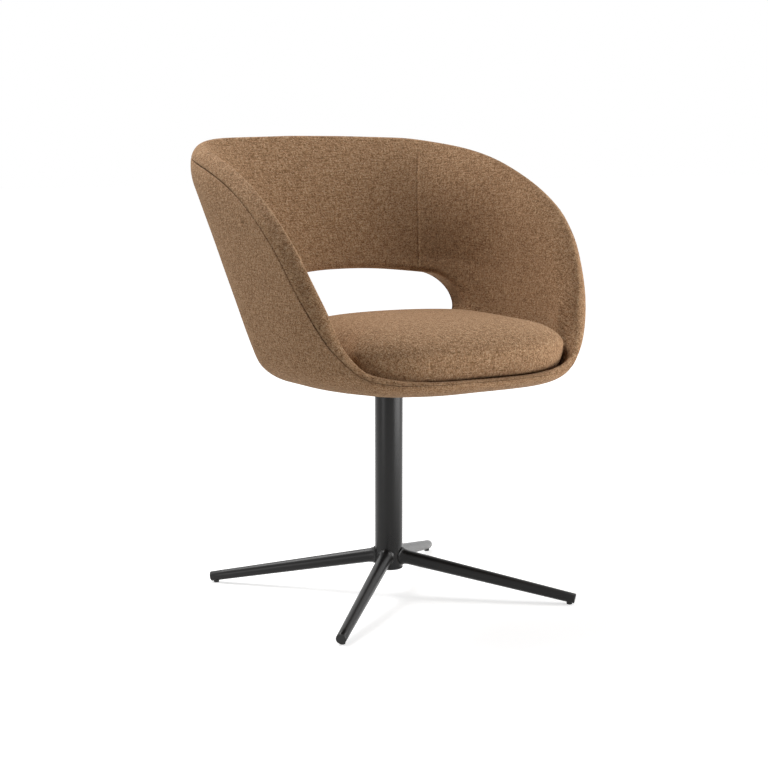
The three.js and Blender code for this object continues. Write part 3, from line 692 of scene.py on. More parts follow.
# %% Follow the opening's outline
opening_half = 0.2
opening_bottom = 0.072
opening_top = 0.171
opening_shoulder = 0.16
lower_radius = 0.04
upper_radius = 0.045
widest_bearing = math.radians(93)
halvings = 40


def opening_half_outline(share, grown):
    """Points (x, height) of the right half, and the directions away from the opening."""
    half, bottom, shoulder = opening_half + grown, opening_bottom - grown, opening_shoulder + grown
    low, high = lower_radius + grown, upper_radius + grown
    quarter = math.pi / 2
    upright = shoulder - bottom - low - high
    runs = np.array([half - low, quarter * low, upright, quarter * high, half - high])
    ends = np.concatenate([[0], np.cumsum(runs / runs.sum())])
    run = np.clip(np.searchsorted(ends, share, side="right") - 1, 0, 4)
    t = (share - ends[run]) / (ends[run + 1] - ends[run])
    angle = np.choose(run, [-quarter + 0 * t, quarter * (t - 1), 0 * t, quarter * t, quarter + 0 * t])
    bow = opening_top - opening_shoulder
    x = np.choose(
        run,
        [t * (half - low), half - low + low * np.cos(angle), half + 0 * t,
         half - high + high * np.cos(angle), (1 - t) * (half - high)],
    )
    height = np.choose(
        run,
        [bottom + 0 * t, bottom + low + low * np.sin(angle), mix(bottom + low, shoulder - high, t),
         shoulder - high + high * np.sin(angle), shoulder + bow * (1 - (1 - t) ** 2)],
    )
    return np.stack([x, height], -1), np.stack([np.cos(angle), np.sin(angle)], -1)


def bearing_on(face, x, height):
    """The bearing at which a face of the back has this x, for x from 0 out to the side."""
    low, high = np.full(np.shape(x), widest_bearing), np.full(np.shape(x), math.pi)
    for _ in range(halvings):
        middle = (low + high) / 2
        too_wide = face(middle, height)[..., 0] > x
        low, high = np.where(too_wide, middle, low), np.where(too_wide, high, middle)
    return (low + high) / 2


def inner_face(bearing, height):
    seam = seam_at(bearing)
    padding = roll_at(bearing) + bulge_at(bearing, height)
    return wall_point(bearing, height, padding - curl_at(seam, np.minimum(height, seam)))


def outer_face(bearing, height):
    return wall_point(bearing, height, 0.0)


def face_y(face, x, height):
    return face(bearing_on(face, np.abs(x), height), height)[..., 1]


print("opening:", round(opening_half * 2, 3), "m wide")

# %% [markdown]
# ## One grid round a hole
# The wall's grid has columns that stand up and rows that run round. At the opening its rows part: those
# above follow the top edge and those below the lower edge, and they meet again at the two ends. So no
# triangle is cut, and the fabric stays smooth right up to the edge.

# %% Lay out columns and the hole
corner_seam_bearing = math.radians(142)
outline_samples = 1501
column_step = 2.0


class Layout:
    """The bearings of a skin's columns, and the two edges of the opening along them."""

    def __init__(self, face, grown, edge_steps, fine_bearings=()):
        shares = np.linspace(0, 1, outline_samples)
        outline, _ = opening_half_outline(shares, grown)
        bearings = bearing_on(face, outline[:, 0], outline[:, 1])
        tip = int(np.argmin(bearings))
        self.split = outline[tip, 1]
        picked = bearings[np.linspace(tip, len(shares) - 1, edge_steps).astype(int)]
        outside_count = round(math.degrees(bearings[tip]) / column_step)
        outside = np.linspace(0, bearings[tip], outside_count, endpoint=False)
        fine = np.array(fine_bearings)
        coarse = [b for b in picked[1:-1] if not len(fine) or np.min(np.abs(fine - b)) > bearing_step * 2]
        right = np.sort(np.concatenate([outside, [picked[0], math.pi], coarse, fine]))
        self.tip = int(np.argmin(np.abs(right - picked[0])))
        self.bearings = np.concatenate([right, 2 * math.pi - right[-2:0:-1]])
        self.count = len(self.bearings)
        holed = right[self.tip :]
        top = np.interp(holed, bearings[tip:], shares[tip:])
        low = np.interp(holed, bearings[tip::-1], shares[tip::-1])
        top[0] = low[0] = shares[tip]
        self.top_shares, self.low_shares = top, low
        self.top_heights = self.edge_heights(top, grown)
        self.low_heights = self.edge_heights(low, grown)

    def edge_heights(self, shares, grown):
        """The height of one edge at every column, which is that of the hole's ends outside it."""
        heights = np.full(self.count, self.split)
        half = opening_half_outline(shares, grown)[0][:, 1]
        heights[self.tip : self.tip + len(half)] = half
        mirrored = half[-2::-1]
        heights[self.tip + len(half) : self.tip + len(half) + len(mirrored)] = mirrored
        return heights

    def around(self, upper, lower):
        """What the two parted rows hold, once round the hole from its right end over the top."""
        first, last = self.tip, self.count - self.tip
        return np.concatenate([upper[first : last + 1], lower[last - 1 : first : -1]])

    def shares_around(self):
        """The share of the outline at every point round the hole, and the side that it is on."""
        top = np.concatenate([self.top_shares, self.top_shares[-2::-1]])
        low = np.concatenate([self.low_shares, self.low_shares[-2::-1]])[-2:0:-1]
        middle = len(self.top_shares) - 1
        side = np.ones(len(top) + len(low))
        side[middle + 1 : len(side) - middle] = -1
        return np.concatenate([top, low]), side


def ring_points(face, shares, side, grown, into):
    """Points on the opening's grown outline, this far into the wall from a face."""
    outline, away = opening_half_outline(shares, grown)
    y = face_y(face, outline[:, 0], outline[:, 1]) + into
    return np.stack([outline[:, 0] * side, y, outline[:, 1]], -1), away * np.stack([side, 0 * side + 1], -1)


print("hole: rows part at the ends of the opening")

# %% [markdown]
# ## Sewing round the opening
# The lining and the outer cover are sewn in the same steps, once from inside and once from outside. The
# rows above and below the opening are joined. Rings round the fabric over the opening's edge and into the
# hole, and there it curls away from the hole, as cloth does where it is tucked in. The weave runs on from
# the wall over the edge.

# %% Share the steps of both skins
inner_rounding = 0.012
outer_rounding = 0.0025
facing_tuck = 0.0015
facing_gap = 0.0012
seam_slot = 0.006
tuck_low = 0.0009
tuck_high = 0.0016
seam_gap_low = 0.0006
seam_gap_high = 0.0012
weave_level = 0.16
split_share = 0.45


def tuck_at(bearing):
    """How far the upholstery turns in at the seam under the rim."""
    return mix(tuck_low, tuck_high, growth_at(bearing))


def seam_gap_at(bearing):
    """How far the outer cover stays below the seam."""
    return mix(seam_gap_low, seam_gap_high, growth_at(bearing))


def steps(count, start=0.0, end=1.0):
    return np.linspace(start, end, count)[:, None]


def arc_along(points):
    """The distance round a closed row to every point, and once round."""
    lengths = np.cumsum(np.linalg.norm(np.roll(points, -1, axis=0) - points, axis=1))
    return np.concatenate([[0], lengths[:-1]]), lengths[-1]


def split_heights(layout, top):
    """Where the upper rows end and the lower rows start, and where both would be if there was no hole."""
    middle = np.minimum(layout.split, mix(edge_at(layout.bearings), top, split_share))
    holed = np.zeros(layout.count, bool)
    holed[layout.tip : layout.count - layout.tip + 1] = True
    return np.where(holed, layout.top_heights, middle), np.where(holed, layout.low_heights, middle), middle


def weave_of(along, up):
    return np.stack(np.broadcast_arrays(along, up), -1)


def sew_rows(skin, layout, upper, lower, level_row, ends, slant=0.0, dents=0.0):
    """Adds the rows above and below the hole. Gives the numbers and the weave of the points round it.

    Outside the hole the last upper row and the first lower row are the same points."""
    along, once_round = arc_along(level_row)
    upper_weave = unfold(upper[::-1], weave_of(along, ends[0]), 1, slant)[::-1]
    lower_weave = unfold(lower, weave_of(along, ends[1]), -1)
    upper_numbers, lower_numbers = skin.add(upper, dents), skin.add(lower)
    outside = np.ones(layout.count, bool)
    outside[layout.tip + 1 : layout.count - layout.tip] = False
    lower_numbers[0, outside] = upper_numbers[-1, outside]
    skin.sheet(upper_numbers, upper_weave, (once_round, 0))
    skin.sheet(lower_numbers, lower_weave, (once_round, 0))
    rim = layout.around(upper_numbers[-1], lower_numbers[0])
    return rim, layout.around(upper_weave[-1], lower_weave[0])


def round_over(face, layout, radius, count, inwards):
    """Rings from a face into the hole, the cloth's way to each, and the directions away from the hole.

    inwards is 1 where the hole is entered from the inner face and -1 from the outer one."""
    shares, side = layout.shares_around()
    rings, ways = [], []
    for turn in np.linspace(0, math.pi / 2, count + 1)[1:]:
        grown, into = radius * (1 - math.sin(turn)), radius * (1 - math.cos(turn)) * inwards
        ring, away = ring_points(face, shares, side, grown, into)
        rings.append(ring)
        ways.append(radius * turn)
    return rings, ways, away


def curl_away(rings, ways, away, inwards):
    """Adds rings in which the cloth curls away from the hole."""
    end, way = rings[-1], ways[-1]
    direction = np.stack([away[:, 0], np.zeros(len(away)), away[:, 1]], -1)
    for turn in np.linspace(0, math.pi / 2, 5)[1:]:
        curled = end + direction * (facing_tuck * (1 - math.cos(turn)))
        curled[:, 1] += facing_tuck * math.sin(turn) * inwards
        rings.append(curled)
        ways.append(way + facing_tuck * turn)


def weave_over(rim_weave, away, ways):
    """The weave of the rings over the hole's edge, which goes on from that of the rim."""
    return np.stack([rim_weave, *(rim_weave + away * np.array([1, -1]) * way for way in ways)])


def sewn(skin, name, outward, thickness, stands_for):
    """Makes a fabric piece of a skin, on the seat."""
    skin.points = raised(skin.points)
    piece = show(name, skin.mesh(name, outward), "seat", "woven_fabric", stands_for)
    thicken(piece, thickness)
    return piece


print("sewing: shared steps ready")

# %% [markdown]
# ## The lining and its rim roll
# One piece of upholstery starts in the seam under the rim, goes over the fat roll, down the inside of the
# bucket and on through the opening. The roll is tucked in at the seam, so a dark crease shows there. The
# rows are first laid as if the hole wasn't there, and smoothed from the crest down, because padding has no
# sharp hollows. Then each column is laid anew so that it ends at the hole.

# %% Shape the padding
settled_share = 0.65
firm_share = 0.35
firm_ramp = 0.2
crest_rows = 10
crest_ramp = 8
lining_softness = 80
back_softness = 260
back_from = 0.28
back_climb = 0.06
roll_steps = 26
wall_rows = 39


def roll_rows(b):
    """The rows from the slot under the roll up to the roll, those over it, and the turns of these."""
    tuck = tuck_at(b)
    roll_from = np.arcsin(math.sin(roll_start) + tuck / crown_at(b) * (1 - math.sin(roll_start)))
    _, inward, upward = roll_frame(b)
    turn = steps(6, math.pi / 2, 0)[:-1]
    tucked = (
        roll_point(b, roll_from)
        + inward * (tuck * (1 - np.cos(turn)))[..., None]
        - upward * (tuck * np.sin(turn))[..., None]
    )
    in_slot = (tucked[0] + inward * seam_slot)[None]
    roll_turns = mix(roll_from, math.pi, steps(roll_steps))
    return np.vstack([in_slot, tucked]), roll_point(b, roll_turns), roll_turns


def soft_wall(b, middle, tucked, over_roll):
    """The rows under the roll, over it and down to the middle of the wall, as soft padding shapes them.

    The roll's end has settled into the wall at settled_share of the way down. Only what lies between the
    crest and firm_share of the way up from the middle is smoothed."""
    roll_end = over_roll[-1]
    share = steps(50)[1:]
    settle = (roll_end - inner_face(b, roll_end[:, 2])) * (1 - ease(share / settled_share))[..., None]
    rows = np.vstack([tucked, over_roll, inner_face(b, mix(roll_end[:, 2], middle, share)) + settle])
    past_crest = np.arange(len(rows))[:, None] - len(tucked) - crest_rows
    drop = roll_end[:, 2] - middle
    free = ease((rows[..., 2] - middle - firm_share * drop) / (firm_ramp * drop))
    free = ease(past_crest / crest_ramp) * free
    soften(rows, free, lining_softness)
    soften(rows, free * ease((seam_at(b) - back_from) / back_climb), back_softness)
    return rows


def lower_to(rows, first, ends):
    """Lays the rows after the first ones anew, so that each column ends at its own height."""
    wall = rows[first - 1 :]
    heights = mix(wall[0, :, 2], ends, steps(wall_rows + 1)[1:])
    laid = np.zeros((*heights.shape, 3))
    for column, height in enumerate(heights.T):
        for axis in range(3):
            laid[:, column, axis] = np.interp(-height, -wall[:, column, 2], wall[:, column, axis])
    return np.vstack([rows[:first], laid])


print("padding:", lining_softness, "rounds of smoothing, and", back_softness, "more round the back")

# %% [markdown]
# ## Sewing the lining
# Two sewn seams stand in the rear corners, and the fabric is pulled in along them. Over the roll the weave
# turns with the climbing rim, as cloth does that is cut to follow it. The tunnel through the wall is a
# strip of its own, so its weave starts anew at the hole's inner edge.

# %% Sew the lining
pad_depth = 0.0146
pad_toe = 0.002
corner_seam_depth = 0.0012
corner_seam_width = 0.0028
corner_seam_radius = 0.31
corner_seam_strip = 0.022
corner_seam_start = 1.7
corner_seam_ramp = 0.8


def corner_seam_dents(b, tucked_count, roll_turns):
    """How far the seams in the rear corners pull every point in. They begin past the roll's crest."""
    begun = ease((roll_turns[:, 0] - corner_seam_start) / corner_seam_ramp)
    begun = np.concatenate([np.zeros(tucked_count), begun, np.ones(wall_rows)])
    beside = (np.abs(math.pi - np.abs(b - math.pi)) - corner_seam_bearing) * corner_seam_radius
    return begun[:, None] * (corner_seam_depth * np.exp(-((beside / corner_seam_width) ** 2)))


def roll_slant(along, roll_end, roll_turns, tucked_count):
    """How far the weave's way up turns aside on the roll, where the rim climbs."""
    rim_slope = np.arctan(np.gradient(roll_end[:, 2], along))
    aside = np.clip((math.pi - roll_turns[::-1]) / (math.pi / 2), 0, 2) * rim_slope
    return np.vstack([np.zeros((wall_rows, len(along))), aside, np.repeat(aside[-1:], tucked_count - 1, 0)])


def lining_toe(bearing):
    """The lower end of the lining, half way round the bucket's lower edge."""
    toe = edge_point(bearing, math.pi / 4, pad_depth + pad_toe)
    toe[..., 2] = edge_point(bearing, math.pi / 4, pad_depth)[..., 2]
    return toe


def make_lining():
    seam_columns = corner_seam_bearing + np.linspace(-corner_seam_strip, corner_seam_strip, 14)
    layout = Layout(inner_face, inner_rounding, 66, seam_columns)
    b = layout.bearings
    tucked, over_roll, roll_turns = roll_rows(b)
    roll_end = over_roll[-1]
    upper_end, lower_end, middle = split_heights(layout, roll_end[:, 2])
    upper = lower_to(soft_wall(b, middle, tucked, over_roll), len(tucked) + len(over_roll), upper_end)
    lower_wall = inner_face(b, mix(lower_end, edge_at(b), steps(16)))
    lower = np.vstack([lower_wall, mix(lower_wall[-1], lining_toe(b), steps(4)[1:, :, None])])
    level_row = inner_face(b, weave_level)
    slant = roll_slant(arc_along(level_row)[0], roll_end, roll_turns, len(tucked))
    dents = corner_seam_dents(b, len(tucked), roll_turns)
    skin = Skin()
    rim, rim_weave = sew_rows(skin, layout, upper, lower, level_row, (upper_end, lower_end), slant, dents)
    rings, ways, away = round_over(inner_face, layout, inner_rounding, 6, 1)
    over_edge, start = len(rings), rings[-1]
    shares, side = layout.shares_around()
    end, _ = ring_points(outer_face, shares, side, 0, -outer_rounding - 2 * facing_tuck - facing_gap)
    for share in np.linspace(0, 1, 11)[1:]:
        rings.append(mix(start, end, share))
        ways.append(ways[over_edge - 1] + np.linalg.norm(rings[-1] - start, axis=1))
    curl_away(rings, ways, away, 1)
    numbers = np.vstack([rim[None], skin.add(np.stack(rings))])
    skin.sheet(numbers[: over_edge + 1], weave_over(rim_weave, away, ways[:over_edge]), (0, 0))
    run, round_hole = arc_along(start)
    facing_weave = np.stack([weave_of(run, -way) for way in ways[over_edge - 1 :]])
    skin.sheet(numbers[over_edge:], facing_weave, (round_hole, 0))
    piece = sewn(skin, "seat_lining", False, 0.002, ("inner_pad", "opening_facing"))
    return piece


lining = make_lining()
print("lining:", len(lining.data.polygons), "quads")

# %% [markdown]
# ## The outer cover
# The outside is a second piece of the same cloth, pulled tight over the core. It starts in a hem under the
# bucket, turns round the lower edge, climbs the wall and tucks in under the roll. At the opening it turns
# in to meet the lining, a few millimetres inside the edge.

# %% Stretch the outer cover
cover_hem = 0.008
hem_rows = [(0.93, 0.0), (1, 0.0006), (1, 0.0026)]


def make_outer_cover():
    layout = Layout(outer_face, outer_rounding, 60)
    b = layout.bearings
    tuck = tuck_at(b)
    turn = steps(6, math.pi / 2, 0)
    steepness = 1 / roll_frame(b)[2][:, 2]
    top, fall = seam_at(b) - seam_gap_at(b) * steepness, tuck * steepness
    under_roll = wall_point(b, top, tuck + seam_slot)[None]
    turned_in = wall_point(b, top - fall + fall * np.sin(turn), tuck * (1 - np.cos(turn)))
    upper_end, lower_end, _ = split_heights(layout, top - fall)
    upper_wall = outer_face(b, mix(top - fall, upper_end, steps(40)[1:]))
    lower_wall = outer_face(b, mix(lower_end, edge_at(b), steps(18)))
    around_edge = edge_point(b, steps(14, math.pi / 2, 0)[1:], 0.0)
    hem = []
    for share, height in hem_rows:
        row = outline_at(b, 0.0) + inward_at(b, 0.0) * (corner_inset + cover_hem * share)
        row[:, 2] = height
        hem.append(row)
    upper = np.vstack([under_roll, turned_in, upper_wall])
    lower = np.vstack([lower_wall, around_edge, np.stack(hem)])
    skin = Skin()
    level_row = outline_at(b, weave_level)
    rim, rim_weave = sew_rows(skin, layout, upper, lower, level_row, (upper_end, lower_end))
    rings, ways, away = round_over(outer_face, layout, outer_rounding, 5, -1)
    curl_away(rings, ways, away, -1)
    numbers = np.vstack([rim[None], skin.add(np.stack(rings))])
    skin.sheet(numbers, weave_over(rim_weave, away, ways), (0, 0))
    piece = sewn(skin, "outer_upholstery", True, 0.003, ("outer_cover",))
    return piece


cover = make_outer_cover()
print("outer cover:", len(cover.data.polygons), "quads")

# %% [markdown]
# ## The seat cushion
# The cushion is a foam dome in its own cover, screwed down inside the bucket. Formulas give its resting
# shape: a flat bottom, a side that follows the lining at a small gap, and a dome whose crown lies towards
# the front.

# %% Shape the cushion
cushion_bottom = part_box("cushion_cover")[0].z - underside
cushion_side = 0.038
cushion_crown = 0.049
cushion_centre_y = -0.05
cushion_gap = 0.0002
cushion_toe_gap = 0.001
cushion_draw_in = 0.001
draw_in_share = 0.75
draw_in_power = 2.4
dome_power = 4.2
cushion_columns = 144


def lining_at(bearing, height):
    """The lining beside the cushion. Near its lower edge it draws in to its toe."""
    toe = lining_toe(bearing)
    edge = edge_at(bearing)
    above = inner_face(bearing, np.maximum(height, edge))
    share = np.clip((height - toe[..., 2]) / (edge - toe[..., 2]), 0, 1)
    return mix(toe, above, share[..., None])


def cushion_edge(bearing, inset):
    level = np.minimum(cushion_bottom + cushion_side, seam_at(bearing))
    return wall_point(bearing, level, roll_at(bearing) + cushion_gap + inset)


def cushion_side_point(bearing, height, depth):
    """The cushion's side stands upright, but draws in low down and stays clear of the lining."""
    bearing, height = np.broadcast_arrays(bearing, height)
    low = np.clip(1 - (height - cushion_bottom) / (draw_in_share * cushion_side), 0, 1)
    edge = cushion_edge(bearing, depth + cushion_draw_in * low**draw_in_power)
    clear = lining_at(bearing, np.minimum(height, seam_at(bearing)))
    clear = clear + inward_at(bearing, edge_at(bearing)) * (cushion_toe_gap + depth)
    centre = np.array([0, centre_y])
    reach, clear_reach = (np.linalg.norm(p[..., :2] - centre, axis=-1) for p in (edge, clear))
    point = np.where((clear_reach < reach)[..., None], clear, edge)
    point[..., 2] = height
    return point


def finished_mesh(edit, name):
    """Turns an edited form into a mesh that faces outwards and shades smoothly."""
    bmesh.ops.recalc_face_normals(edit, faces=edit.faces)
    mesh = bpy.data.meshes.new(name)
    edit.to_mesh(mesh)
    edit.free()
    mesh.polygons.foreach_set("use_smooth", [True] * len(mesh.polygons))
    return mesh


def cushion_mesh(depth):
    """The cushion's resting form, this far inside its full size, as one closed mesh."""
    bearings = np.linspace(0, 2 * math.pi, cushion_columns, endpoint=False)
    low, side_top = cushion_bottom + depth, cushion_bottom + cushion_side
    sides = cushion_side_point(bearings, mix(low, side_top, steps(12)), depth)
    edge = cushion_edge(bearings, depth)
    angles = steps(26, math.pi / 2, 0)[1:-1]
    out = np.sin(angles) ** (2 / dome_power)
    height = side_top + (cushion_crown - depth) * np.cos(angles) + 0 * edge[:, 0]
    dome = np.stack([edge[:, 0] * out, mix(cushion_centre_y, edge[:, 1], out), height], -1)
    below, above = [0, cushion_centre_y, low], [0, cushion_centre_y, side_top + cushion_crown - depth]
    flat = np.stack([mix(np.array(below), sides[0], share) for share in (0.25, 0.6, 0.85)])
    skin = Skin()
    numbers = skin.add(raised(np.vstack([flat, sides, dome])))
    skin.sheet(numbers, np.zeros((*numbers.shape, 2)), (0, 0))
    centres = skin.add(raised(np.array([[below, above]])))[0]
    faces = skin.corners.tolist()
    for centre, row in zip(centres, (numbers[0], numbers[-1][::-1])):
        faces += [[int(centre), int(q), int(p)] for p, q in zip(row, np.roll(row, -1))]
    form = bpy.data.meshes.new("cushion_form")
    form.from_pydata(skin.points.tolist(), [], faces)
    edit = bmesh.new()
    edit.from_mesh(form)
    bpy.data.meshes.remove(form)
    return finished_mesh(edit, "seat_cushion")


cushion_top = underside + cushion_bottom + cushion_side + cushion_crown
print("cushion: crown", round(cushion_top, 4), "m over the floor")

# %% [markdown]
# ## Stuffing the cushion
# The resting shape is made a little small. Then Blender's cloth blows it up like a real stuffed cover, and
# a cap on how far a point may move keeps it clear of the lining.

# %% Stuff the cushion
swell = 0.002
swell_play = 0.0005
cushion_mean_reach = 0.21
cloth_voxel = 0.005
cloth_frames = 20
cloth_settings = {
    "quality": 6,
    "mass": 0.2,
    "tension_stiffness": 20,
    "compression_stiffness": 20,
    "shear_stiffness": 8,
    "bending_stiffness": 2,
    "use_pressure": True,
    "uniform_pressure_force": 1.5,
}


def apply_modifiers(piece):
    evaluated = piece.evaluated_get(bpy.context.evaluated_depsgraph_get())
    solid = bpy.data.meshes.new_from_object(evaluated)
    piece.modifiers.clear()
    piece.data = solid


def blow_up(piece, cap):
    """Remeshes a closed piece evenly and inflates it as cloth, with a cap on each point's way."""
    remesh = piece.modifiers.new("even", "REMESH")
    remesh.mode = "VOXEL"
    remesh.voxel_size = cloth_voxel
    apply_modifiers(piece)
    start = np.array([v.co for v in piece.data.vertices])
    cloth = piece.modifiers.new("cloth", "CLOTH")
    for name, value in cloth_settings.items():
        setattr(cloth.settings, name, value)
    cloth.settings.effector_weights.gravity = 0
    cloth.point_cache.frame_start = 1
    cloth.point_cache.frame_end = cloth_frames
    for step in range(1, cloth_frames + 1):
        bpy.context.scene.frame_set(step)
    apply_modifiers(piece)
    bpy.context.scene.frame_set(1)
    moved = np.array([v.co for v in piece.data.vertices]) - start
    moved[:, :2] -= moved[:, :2].mean(axis=0)
    far = np.linalg.norm(moved, axis=1, keepdims=True)
    kept = start + moved * np.minimum(1, cap / np.maximum(far, 1e-9))
    piece.data.vertices.foreach_set("co", kept.astype(np.float32).ravel())
    piece.data.update()
    return float(far.mean())


def lay_weave(mesh, top):
    """Lays the weave over a dome. Each point lies as far from the middle as the cloth runs down to it."""
    out = np.linspace(0, 1, 400)
    drop = cushion_crown * (1 - np.sqrt(1 - out**dome_power))
    reach = cushion_mean_reach * out
    run = np.concatenate([[0], np.cumsum(np.hypot(np.diff(reach), np.diff(drop)))])
    drop, extra = np.append(drop, 1), np.append(run - reach, (run - reach)[-1] + 1 - cushion_crown)
    points = np.array([v.co for v in mesh.vertices])
    facing = np.array([n.vector for n in mesh.vertex_normals])[:, :2]
    facing /= np.maximum(np.linalg.norm(facing, axis=1, keepdims=True), 1e-4)
    spread = points[:, :2] + facing * np.interp(top - points[:, 2], drop, extra)[:, None]
    corners = np.zeros(len(mesh.loops), int)
    mesh.loops.foreach_get("vertex_index", corners)
    weave = mesh.uv_layers.get("weave") or mesh.uv_layers.new(name="weave")
    weave.data.foreach_set("uv", spread[corners].ravel())


def make_cushion():
    mesh = cushion_mesh(swell)
    piece = show("seat_cushion", mesh, "seat", "woven_fabric", ("cushion_cover", "cushion_foam"))
    far = blow_up(piece, swell + swell_play)
    print("cushion: swelled", round(far * 1000, 1), "mm on average before the cap")
    finer = piece.modifiers.new("finer", "SUBSURF")
    finer.levels = 1
    finer.render_levels = 1
    apply_modifiers(piece)
    floor = underside + cushion_bottom
    for vertex in piece.data.vertices:
        vertex.co.z = max(vertex.co.z, floor)
    piece.data.materials.clear()
    piece.data.materials.append(fabric)
    piece.data.polygons.foreach_set("use_smooth", [True] * len(piece.data.polygons))
    lay_weave(piece.data, cushion_top)
    return piece


cushion = make_cushion()
print("cushion:", len(cushion.data.polygons), "faces")

# %% [markdown]
# ## Turned parts
# The column and its foot cap are round, so one helper turns a profile into a solid, as a lathe does.
# Sharp corners look computer made, so each corner of a profile can have a small radius.


# %% Turn round parts
def rounded(profile):
    """A profile of (radius, height, corner radius) with each corner drawn as an arc."""
    points = [Vector(p[:2]) for p in profile]
    made = []
    for i, (point, row) in enumerate(zip(points, profile)):
        size = row[2] if len(row) > 2 else 0
        if not size or i in (0, len(points) - 1):
            made.append(point)
            continue
        before, after = (points[i - 1] - point), (points[i + 1] - point)
        half = before.angle(after) / 2
        reach = min(size / math.tan(half), before.length / 2, after.length / 2)
        first, last = point + before.normalized() * reach, point + after.normalized() * reach
        for share in np.linspace(0, 1, 6):
            made.append(first.lerp(point, share).lerp(point.lerp(last, share), share))
    return [tuple(p) for p in made]


def turned(name, profile, sides=96):
    """Turns a profile round +Z into a closed mesh. It starts and ends on the axis, or closes on itself."""
    angles = np.linspace(0, 2 * math.pi, sides, endpoint=False)
    edit = bmesh.new()
    rings = []
    for radius, height in rounded(profile):
        around = angles if radius > 1e-7 else [0.0]
        rings.append([edit.verts.new((radius * math.cos(a), radius * math.sin(a), height)) for a in around])
    pairs = list(zip(rings, rings[1:]))
    if len(rings[0]) > 1:
        pairs.append((rings[-1], rings[0]))
    for low, high in pairs:
        for i in range(sides):
            j = (i + 1) % sides
            corners = [low[i % len(low)], low[j % len(low)], high[j % len(high)], high[i % len(high)]]
            edit.faces.new(list(dict.fromkeys(corners)))
    return finished_mesh(edit, name)


column_low, column_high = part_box("column_tube")
column_radius = column_high.x
column_wall = 0.003
column_bore = column_radius - column_wall
column_profile = [
    (column_bore, column_low.z, 0.0003),
    (column_radius, column_low.z, 0.0004),
    (column_radius, column_high.z, 0.0008),
    (column_bore, column_high.z, 0.0005),
]
cap_play = 0.0003
cap_plug = 0.008
cap_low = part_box("column_base_cap")[0].z
cap_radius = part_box("column_base_cap")[1].x
cap_profile = [
    (0, cap_low),
    (cap_radius, cap_low, 0.0016),
    (cap_radius, column_low.z - cap_play, 0.0004),
    (column_bore - cap_play, column_low.z - cap_play),
    (column_bore - cap_play, column_low.z + cap_plug),
    (0, column_low.z + cap_plug),
]
show("column", turned("column", column_profile), "base", "black_steel", ("column_tube",))
foot_cap = turned("column_foot_cap", cap_profile)
show("column_foot_cap", foot_cap, "base", "black_plastic", ("column_base_cap",))
print("column:", round((column_high.z - cap_low) * 1000), "mm long")

# %% [markdown]
# ## The legs
# Each leg is a tapered tube that falls from the column to the floor. Where it meets the column it widens
# into a weld, a small bead of metal that catches the light. The ends of the tube's rings are laid on the
# column itself, so the joint is tight at every point.

# %% Make the legs
leg_fall = math.radians(10.8)
leg_reach = 0.327
leg_root_radius = 0.0122
leg_tip_radius = 0.0086
leg_wall = 0.002
leg_sides = 64
weld_length = 0.014
weld_growth = 0.0026
weld_sink = 0.0004
weld_steps = [0, 0.0006, 0.0012, 0.0018, 0.0024, 0.003, 0.004, 0.0055, 0.0075, 0.0105, weld_length]
bead_height = 0.0011
bead_place = 0.0022
bead_width = 0.0011
glide_inset = 0.0097
glide_height = 0.003
plug_flange = 0.0012
plug_seat = 0.006
tip_bevel = 0.0006
leg_length = leg_reach / math.cos(leg_fall)
glide_reach = leg_reach - glide_inset


def leg_radius(along):
    return mix(leg_root_radius, leg_tip_radius, (along - column_radius) / (leg_length - column_radius))


leg_root_height = (
    glide_height
    + leg_radius(glide_reach / math.cos(leg_fall)) / math.cos(leg_fall)
    + glide_reach * math.tan(leg_fall)
)


def leg_place(bearing, along, radius, turn):
    """A point on a ring round a leg: along its axis from the column's, at this turn about it."""
    outward = Vector((math.cos(bearing), math.sin(bearing), 0))
    axis = outward * math.cos(leg_fall) - Vector((0, 0, math.sin(leg_fall)))
    side = Vector((-math.sin(bearing), math.cos(bearing), 0))
    up = axis.cross(side)
    point = axis * along + side * (radius * math.cos(turn)) + up * (radius * math.sin(turn))
    return point + Vector((0, 0, leg_root_height))


def along_to_column(bearing, radius, turn):
    """How far along a leg a line on its skin meets the column."""
    low, high = 0.0, 0.08
    for _ in range(30):
        middle = (low + high) / 2
        point = leg_place(bearing, middle, radius, turn)
        if math.hypot(point.x, point.y) < column_radius:
            low = middle
        else:
            high = middle
    return high


def make_leg(name, bearing):
    turns = [2 * math.pi * i / leg_sides for i in range(leg_sides)]
    roots = [along_to_column(bearing, leg_root_radius + weld_growth, turn) - weld_sink for turn in turns]
    tip, last_root = leg_length - plug_flange, max(roots) + weld_length
    bore, last_bore = leg_radius(tip) - leg_wall, leg_radius(last_root) - leg_wall
    edit = bmesh.new()

    def ring(places):
        """One ring of points round the leg, from how far along it and how far out each lies."""
        return [edit.verts.new(leg_place(bearing, *place, turn)) for place, turn in zip(places, turns)]

    rings = []
    for past in weld_steps:
        flare = weld_growth * (1 - past / weld_length) ** 2
        flare += bead_height * math.exp(-(((past - bead_place) / bead_width) ** 2))
        rings.append(ring([(root + past, leg_radius(root + past) + flare) for root in roots]))
    for along, radius in (
        *[(a, leg_radius(a)) for a in np.linspace(last_root + 0.004, tip - tip_bevel, 14)],
        (tip - 0.0002, leg_radius(tip) - 0.0002),
        (tip, leg_radius(tip) - tip_bevel),
        (tip, bore),
        (tip - plug_seat, bore),
        (last_root, last_bore),
    ):
        rings.append(ring([(along, radius)] * leg_sides))
    rings.append(ring([(root, leg_root_radius - leg_wall) for root in roots]))
    for low, high in zip(rings, rings[1:] + rings[:1]):
        for i in range(leg_sides):
            j = (i + 1) % leg_sides
            edit.faces.new((low[i], low[j], high[j], high[i]))
    return finished_mesh(edit, name)


